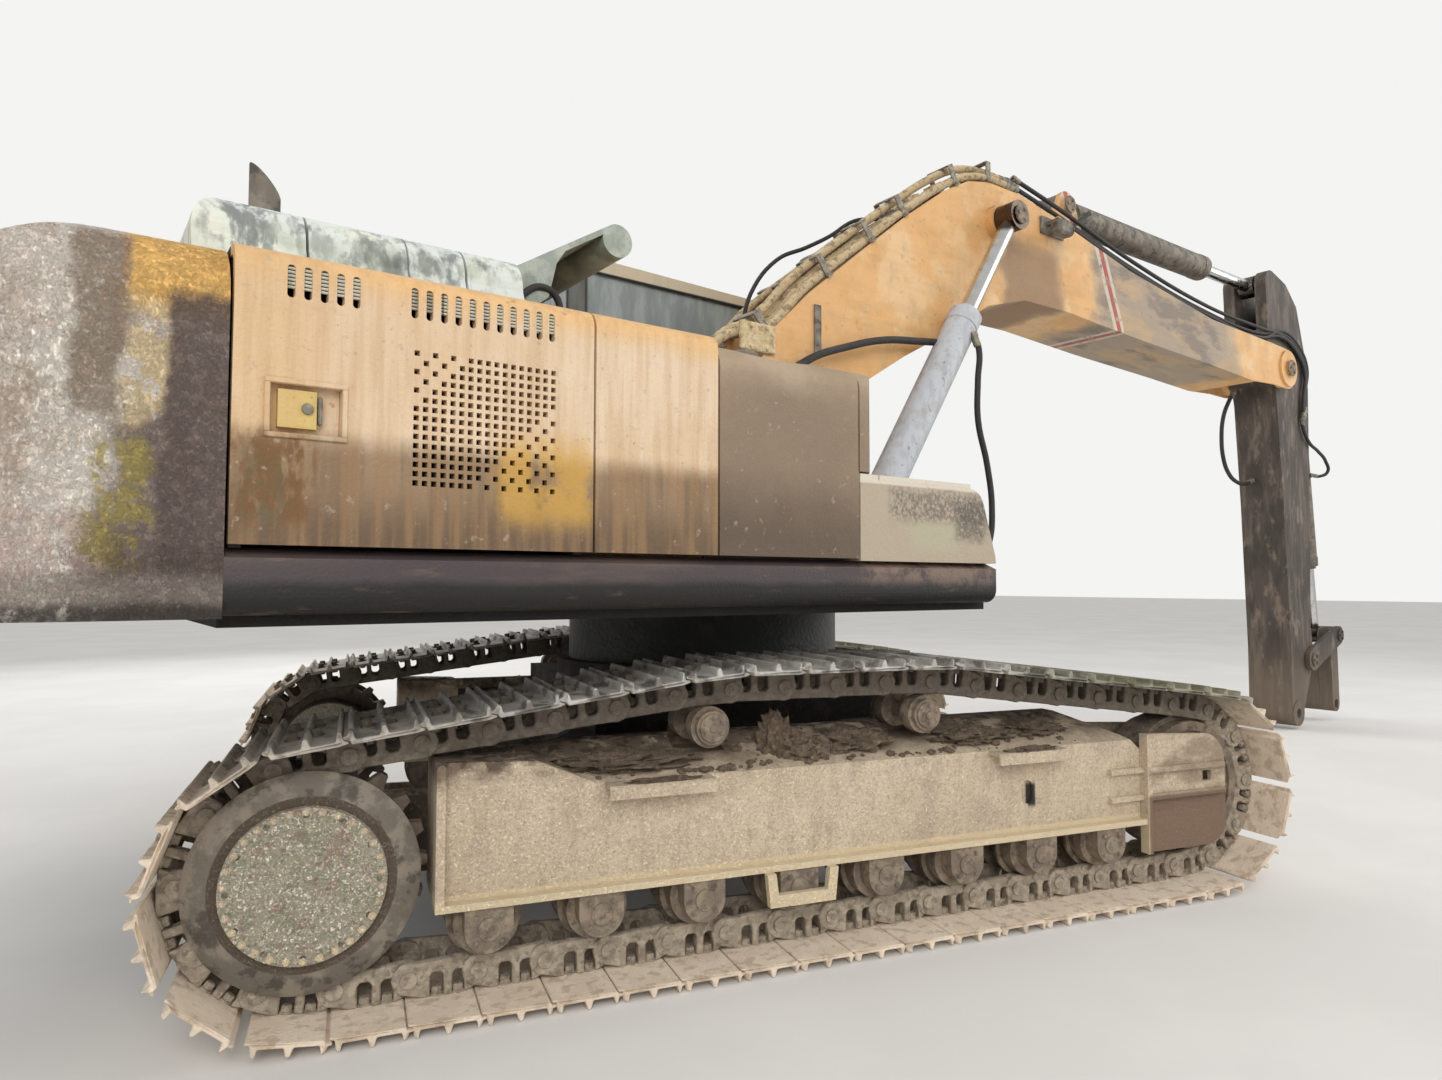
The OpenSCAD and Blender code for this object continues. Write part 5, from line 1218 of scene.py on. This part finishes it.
class EXCAVATOR_OT_undercarriage_fittings(bpy.types.Operator):
    """Add the drives' bolted rings, the rollers' end plugs and the dirt on the track frames"""

    bl_idname = "excavator.undercarriage_fittings"
    bl_label = "Undercarriage Fittings"

    def execute(self, context):
        sizes = track_sizes()
        out = (0, 1, 0)
        x, z = -sizes.wheelbase / 2, sizes.wheel_z
        ring = turned([(0.262, 0.168), (0.3, 0.161), (0.333, 0.146), (0.333, 0.138), (0.27, 0.138)])
        ring.data.transform(moved(x, 0, z))
        self.both_sides(smooth(ring), "drive_rings", "dark_tube")
        self.both_sides(bolts((x, 0.186, z), 0.219, 30, 0.0085, out), "drive_bolts", "frame")
        parts = []
        rollers, end_margin = 8, 1.078
        for i in range(rollers):
            share = (i - (rollers - 1) / 2) * (sizes.wheelbase - end_margin) / (rollers - 1)
            cap = (share, 0.196, 0.258)
            parts += [disc(cap, 0.036, 0.008, out), bolts(cap, 0.056, 4, 0.0075, out)]
        for x in (REAR_CARRIER, FRONT_CARRIER):
            face = (x, 0.163, 0.84)
            parts += [disc((x, 0.153, 0.84), 0.05, 0.01, out), bolts(face, 0.036, 6, 0.006, out),
                      disc(face, 0.014, 0.006, out)]
        self.both_sides(smooth(joined(parts)), "roller_plugs", "roller")
        self.both_sides(self.dirt(), "frame_dirt", "earth")
        return {"FINISHED"}

    def both_sides(self, model, name, finish):
        """Copies a model to both tracks; its Y runs outwards from the track's middle."""
        sizes = track_sizes()
        turn = Matrix.Rotation(-sizes.slew, 4, "Z")
        places = [turn @ moved(0, side * sizes.gauge / 2, 0) @ Matrix.Scale(side, 4, (0, 1, 0))
                  for side in (1, -1)]
        settle(copies(model, places), name, finish, "undercarriage")
        drop(model)

    def dirt(self):
        """Heaps between the carrier rollers and crumbs all along the frame's sloping top."""
        # Middle and half sizes of each heap
        heaps = (((-0.2, 0.02, 0.735), (0.075, 0.07, 0.115)), ((-0.1, 0.09, 0.715), (0.1, 0.055, 0.065)),
                 ((0.13, 0.03, 0.735), (0.16, 0.1, 0.045)), ((0.66, 0.05, 0.73), (0.17, 0.09, 0.035)),
                 ((-0.8, 0.06, 0.725), (0.24, 0.09, 0.035)), ((1.02, 0.03, 0.735), (0.14, 0.08, 0.03)),
                 ((-1.2, 0.0, 0.745), (0.15, 0.1, 0.03)), ((0.86, 0.2, 0.683), (0.12, 0.03, 0.014)),
                 ((-0.7, 0.2, 0.683), (0.12, 0.03, 0.01)))
        parts = [lump(centre, size, 3.0 * i) for i, (centre, size) in enumerate(heaps)]
        crumb = lump((0, 0, 0), (1, 1, 0.7), 1.7, 2)
        count, smallest, size_range = 260, 0.004, 0.016
        # The outer edge of the frame's sloping top, the height there and the slope's rise inwards
        edge_y, edge_z, slope = 0.165, 0.683, 0.392
        draw = random.Random(SEED)
        places = []
        for _ in range(count):
            x, y = draw.uniform(-1.4, 1.2), draw.uniform(-0.08, 0.158)
            # Beside a carrier roller the crumbs lie only along the outer edge
            if min(abs(x - REAR_CARRIER), abs(x - FRONT_CARRIER)) < 0.12:
                y = 0.142 + 0.06 * y
            size = smallest + size_range * draw.random() ** 3
            slope_z = edge_z + (edge_y - y) * slope
            places.append(moved(x, y, slope_z + size * 0.3)
                          @ Matrix.Rotation(draw.uniform(0, 6.28), 4, "Z") @ Matrix.Scale(size, 4))
        parts.append(copies(crumb, places))
        drop(crumb)
        return joined(parts)


class EXCAVATOR_OT_panel_fittings(bpy.types.Operator):
    """Add latches, louvres, filler caps, the exhaust's tail pipe and the hose beside the front lid"""

    bl_idname = "excavator.panel_fittings"
    bl_label = "Panel Fittings"

    def execute(self, context):
        right, up = -PANEL_Y, (0, 0, 1)
        settle(self.rim(-2.349, -2.181, 1.725, 1.847, right - 0.007), "latch_rim_right", "panel",
               "rear_door_right")
        lock = joined([disc((-2.262, right + 0.006, 1.79), 0.014, 0.007),
                       block((-2.236, right + 0.004, 1.752), (-2.226, right + 0.02, 1.824))])
        settle(smooth(lock), "latch_lock_right", "fitting", "rear_door_right")
        bars = [self.bars(x0, x1, right + 0.006, 0.008, 2.09, 0.0095, 0.0065, 6, 0.002)
                for x0, x1 in ((-2.325, -2.132), (-2.018, -1.58))]
        settle(joined(bars), "slot_louvres", "hood", "rear_door_right")
        for name, x0, x1 in (("rear_door_left", -2.25, -1.65), ("front_door_left", -1.33, -0.72)):
            vents = self.bars(x0, x1, PANEL_Y - 0.003, 0.014, 1.78, 0.042, 0.02, 8, 0.006)
            settle(vents, f"vents_{name}", "panel", name)
            latch = self.rim(x1 + 0.03, x1 + 0.12, 1.6, 1.67, PANEL_Y)
            lid = block((x1 + 0.036, PANEL_Y - 0.002, 1.606), (x1 + 0.114, PANEL_Y + 0.004, 1.664))
            settle(joined([latch, lid]), f"latch_{name}", "panel", name)
        caps = [disc((-0.66, -1.2, 2.186), 0.062, 0.05, up), disc((-1.22, -1.2, 2.186), 0.095, 0.016, up),
                bolts((-1.22, -1.2, 2.202), 0.078, 6, 0.008, up)]
        settle(smooth(joined(caps)), "filler_caps", "dark_tube", "upper")
        self.exhaust(-2.265, -0.85, 2.43)
        arch = at_y(-1.0, (-1.5, 2.17), (-1.495, 2.31), (-1.456, 2.372), (-1.396, 2.398),
                    (-1.345, 2.375), (-1.325, 2.3), (-1.32, 2.15))
        hose("lid_hose", arch, 0.026, "hose", "upper")
        return {"FINISHED"}

    def bars(self, x0, x1, y, deep, z, pitch, high, count, edge):
        """Level bars, one over the other, as slot louvres or pressed vents."""
        return joined([block((x0, y, z + pitch * i), (x1, y + deep, z + pitch * i + high), edge)
                       for i in range(count)])

    def rim(self, x0, x1, z0, z1, y):
        """A raised frame round an opening in a side panel."""
        wide, deep = 0.013, 0.007
        bars = (((x0 - wide, z0 - wide), (x1 + wide, z0)), ((x0 - wide, z1), (x1 + wide, z1 + wide)),
                ((x0 - wide, z0), (x0, z1)), ((x1, z0), (x1 + wide, z1)))
        return joined([block((a[0], y, a[1]), (b[0], y + deep, b[1]), 0.002) for a, b in bars])

    def exhaust(self, x, y, foot):
        """A short tail pipe on the hood, cut at a slant."""
        radius, height, wall, hollow, slant = 0.045, 0.17, 0.004, 0.07, 1.1
        pipe = at_origin(cylinder(32, radius, height, height / 2))
        inset_top(pipe, wall, 0)
        inset_top(pipe, 0.0001, -hollow)
        for vertex in pipe.data.vertices:
            if vertex.co.z > 0.05:
                vertex.co.z -= vertex.co.x * slant
        pipe.data.transform(moved(x, y, foot))
        whole = joined([pipe, disc((x, y, foot), radius + 0.007, 0.014, (0, 0, 1))])
        settle(smooth(whole), "exhaust_tail_pipe", "dark_tube", "upper")


class EXCAVATOR_OT_boom_fittings(bpy.types.Operator):
    """Add pin caps, the boom foot's hose clamp, its side bar and the work lamp"""

    bl_idname = "excavator.boom_fittings"
    bl_label = "Boom Fittings"

    def execute(self, context):
        # Body, slot, pin centre, its end's distance from the middle plane and the cap's radius
        pins = (("boom", "boom", (6.4, 3.34), 0.316, 0.075), ("boom", "boom", (2.12, 3.69), 0.475, 0.06),
                ("boom", "boom", (3.18, 4.13), 0.14, 0.062), ("arm", "arm", (7.21, 3.4), 0.101, 0.062),
                ("rocker_links", "link", (6.925, 0.64), 0.237, 0.062),
                ("rocker_links", "link", (7.53, 0.85), 0.237, 0.062))
        for i, (body, slot, (x, z), y, radius) in enumerate(pins):
            parts, thick = [], 0.014
            for side, _ in SIDES:
                way = (0, side, 0)
                parts += [disc((x, side * y, z), radius, thick, way),
                          bolts((x, side * (y + thick), z), radius * 0.6, 3, 0.011, way)]
            settle(smooth(joined(parts)), f"pin_caps_{body}_{i}", "roller" if body == "boom" else "arm",
                   body)
        clamp = joined([block((0.02, -0.305, 2.545), (0.25, -0.281, 2.695), 0.006),
                        bolts((0.135, -0.305, 2.62), 0.075, 4, 0.01)])
        settle(clamp, "boom_foot_clamp", "pipe", "boom")
        settle(block((0.535, -0.292, 2.6), (0.585, -0.279, 2.87), 0.004), "boom_side_bar", "dark_tube",
               "boom")
        lamp = [block((2.6, -0.3, 3.74), (2.86, -0.281, 3.86), 0.004),
                block((2.66, -0.39, 3.8), (2.7, -0.29, 3.83)),
                block((2.62, -0.43, 3.71), (2.78, -0.34, 3.81), 0.02),
                disc((2.78, -0.385, 3.76), 0.042, 0.008, (1, 0, 0))]
        settle(smooth(joined(lamp)), "boom_lamp", "dark_tube", "boom")
        return {"FINISHED"}


class EXCAVATOR_OT_cab_fittings(bpy.types.Operator):
    """Add window rubber, a wiper, a mirror, a grab rail, roof lamps, levers and pedals"""

    bl_idname = "excavator.cab_fittings"
    bl_label = "Cab Fittings"

    def execute(self, context):
        # Corners of the right, left rear and rear windows
        loops = (at_y(0.515, (-0.428, 1.96), (1.268, 1.96), (1.234, 2.51), (1.04, 3.037), (0.96, 3.067),
                      (-0.428, 3.083)),
                 at_y(1.47, (-0.4, 2.06), (0.14, 2.06), (0.14, 2.99), (-0.4, 2.99)),
                 [(-0.5, y, z) for y, z in ((0.595, 2.24), (1.39, 2.24), (1.39, 3.055), (0.595, 3.055))])
        seals = [tube(points, 0.018, "plastic", "VECTOR", True) for points in loops]
        settle(joined(seals), "window_seals", None, "upper")
        parts = [tube(points, diameter, "plastic", corner) for points, diameter, corner in (
            ([(1.405, 1.0, 1.93), (1.4, 0.98, 2.0), (1.36, 0.86, 2.42)], 0.014, "AUTO"),
            ([(1.38, 0.78, 2.2), (1.33, 0.94, 2.62)], 0.012, "VECTOR"),
            ([(1.3, 1.47, 2.3), (1.4, 1.56, 2.34), (1.42, 1.58, 2.5), (1.42, 1.58, 2.62)], 0.018, "AUTO"),
            ([(0.06, 1.47, 1.72), (0.06, 1.53, 1.74), (0.06, 1.53, 2.3), (0.06, 1.47, 2.32)], 0.024,
             "AUTO"))]
        shells = [block((1.4, 1.51, 2.36), (1.44, 1.66, 2.62), 0.012)]
        for y in (0.68, 1.3):
            shells += [block((0.86, y - 0.06, 3.11), (0.94, y + 0.06, 3.2), 0.012),
                       disc((0.94, y, 3.155), 0.038, 0.006, (1, 0, 0))]
        settle(joined(shells), "mirror_and_roof_lamps", "plastic", "upper")
        settle(joined(parts), "wiper_and_rails", None, "upper")
        self.controls()
        handle = joined([block((1.16, 1.47, 2.0), (1.24, 1.49, 2.07), 0.004),
                         block((1.12, 1.488, 2.02), (1.22, 1.506, 2.045), 0.006)])
        settle(handle, "cab_door_handle", "plastic", "cab_door")
        return {"FINISHED"}

    def controls(self):
        """The screen on its post, two hand levers, and two pedals with their travel levers."""
        parts = [block((1.12, 0.6, 1.96), (1.15, 0.8, 2.1), 0.008),
                 tube([(1.1, 0.7, 1.5), (1.14, 0.7, 2.0)], 0.03, "plastic", "VECTOR")]
        for y in (0.6525, 1.3325):
            parts += [disc((0.34, y, 1.978), 0.04, 0.025, (0, 0, 1)),
                      tube([(0.34, y, 1.98), (0.36, y, 2.1)], 0.016, "plastic", "VECTOR"),
                      disc((0.358, y, 2.08), 0.022, 0.12, (0.1, 0, 1))]
        for y in (0.92, 1.06):
            parts += [block((0.82, y - 0.045, 1.49), (0.96, y + 0.045, 1.512)),
                      tube([(0.9, y, 1.5), (0.86, y, 2.0), (0.82, y, 2.2)], 0.018, "plastic"),
                      disc((0.824, y, 2.18), 0.018, 0.09, (-0.2, 0, 1))]
        settle(smooth(joined(parts)), "levers_and_pedals", "plastic", "upper")


class EXCAVATOR_OT_finishes(bpy.types.Operator):
    """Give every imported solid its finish"""

    bl_idname = "excavator.finishes"
    bl_label = "Finishes of the Solids"

    def execute(self, context):
        left_over = set(NODES)
        for name, (_, members) in FINISHES.items():
            for member in members:
                mesh = NODES[member].data
                if not mesh.materials:
                    mesh.materials.append(None)
                for i in range(len(mesh.materials)):
                    mesh.materials[i] = finish_of(name)
                left_over.discard(member)
        if left_over:
            raise RuntimeError(f"no finish for {sorted(left_over)}")
        return {"FINISHED"}


# Camera, lights and floor


class EXCAVATOR_OT_stage(bpy.types.Operator):
    """Add the camera at the photograph's viewpoint, soft studio lights and a pale floor"""

    bl_idname = "excavator.stage"
    bl_label = "Studio Stage"

    def execute(self, context):
        scene = context.scene
        scene.view_settings.view_transform = "Standard"
        nothing_selected()
        bpy.ops.object.camera_add(location=(-2.771, -3.942, 1.357))
        camera = context.object
        image_width, focal_pixels, sensor = 1442, 915.2, 36.0
        camera.data.sensor_width = sensor
        camera.data.lens = sensor * focal_pixels / image_width
        yaw, pitch, roll = 53.75, 2.68, -0.08
        camera.rotation_euler = [math.radians(a) for a in (90 + pitch, roll, yaw - 90)]
        camera.data.clip_end = 200
        scene.camera = camera
        self.world(scene)
        self.lamps(context)
        self.floor(context)
        return {"FINISHED"}

    def world(self, scene):
        world = bpy.data.worlds.new("studio")
        world.use_nodes = True
        world.node_tree.nodes.clear()
        path = node(world, "LightPath").outputs
        seen = node(world, "Math", {0: path["Is Camera Ray"], 1: path["Is Transmission Ray"]},
                    operation="MAXIMUM", use_clamp=True)
        glow = node(world, "Background", {"Color": tint("#ffffff"), "Strength": 0.7})
        backdrop = node(world, "Background", {"Color": tint("#f4f4f3"), "Strength": 1.0})
        mixed = node(world, "MixShader", {0: seen.outputs[0], 1: glow.outputs[0], 2: backdrop.outputs[0]})
        node(world, "OutputWorld", {"Surface": mixed.outputs[0]})
        scene.world = world

    def lamps(self, context):
        """A broad key from the right rear, a fill from the front and one from the left."""
        aim = Vector((1.2, 0, 1.4))
        # Name, place, size in metres and power in watts
        for name, place, size, power in (("key", (-6, -10, 7), 7.0, 700.0),
                                         ("front fill", (12, -7, 7), 8.0, 500.0),
                                         ("left fill", (0, 12, 8), 9.0, 500.0)):
            nothing_selected()
            bpy.ops.object.light_add(type="AREA", location=place)
            lamp = context.object
            lamp.name = name
            lamp.data.size = size
            lamp.data.energy = power
            lamp.rotation_mode = "QUATERNION"
            lamp.rotation_quaternion = (aim - Vector(place)).to_track_quat("-Z", "Y")

    def floor(self, context):
        nothing_selected()
        bpy.ops.mesh.primitive_plane_add(size=160, location=(0, 0, 0))
        floor = context.object
        floor.name = "studio_floor"
        floor.data.materials.append(finish_of("floor"))


# Panel and registration


class EXCAVATOR_PT_looks(bpy.types.Panel):
    """Lists the steps that build the looks"""

    bl_label = "Excavator Looks"
    bl_idname = "EXCAVATOR_PT_looks"
    bl_space_type = "VIEW_3D"
    bl_region_type = "UI"
    bl_category = "Excavator"

    def draw(self, context):
        for step in STEPS:
            self.layout.operator(step.bl_idname)
        for group in (getattr(context.scene, name) for name in GROUPS):
            for name in group.bl_rna.properties.keys():
                if name not in ("rna_type", "name"):
                    self.layout.prop(group, name)


GROUPS = {"excavator_track": TrackSizes, "excavator_hose": HoseSizes, "excavator_paint": PaintColours}
STEPS = (EXCAVATOR_OT_stage, EXCAVATOR_OT_finishes, EXCAVATOR_OT_tracks, EXCAVATOR_OT_boom_hoses,
         EXCAVATOR_OT_tip_hoses, EXCAVATOR_OT_boom_cylinder_hoses, EXCAVATOR_OT_undercarriage_fittings,
         EXCAVATOR_OT_panel_fittings, EXCAVATOR_OT_boom_fittings, EXCAVATOR_OT_cab_fittings)
CLASSES = tuple(GROUPS.values()) + STEPS + (EXCAVATOR_PT_looks,)


def register():
    for cls in CLASSES:
        bpy.utils.register_class(cls)
    for name, group in GROUPS.items():
        setattr(bpy.types.Scene, name, PointerProperty(type=group))


def unregister():
    for name in GROUPS:
        delattr(bpy.types.Scene, name)
    for cls in reversed(CLASSES):
        bpy.utils.unregister_class(cls)


def main():
    """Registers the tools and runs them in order."""
    register()
    for step in STEPS:
        group, action = step.bl_idname.split(".")
        getattr(getattr(bpy.ops, group), action)()


if __name__ == "__main__":
    main()
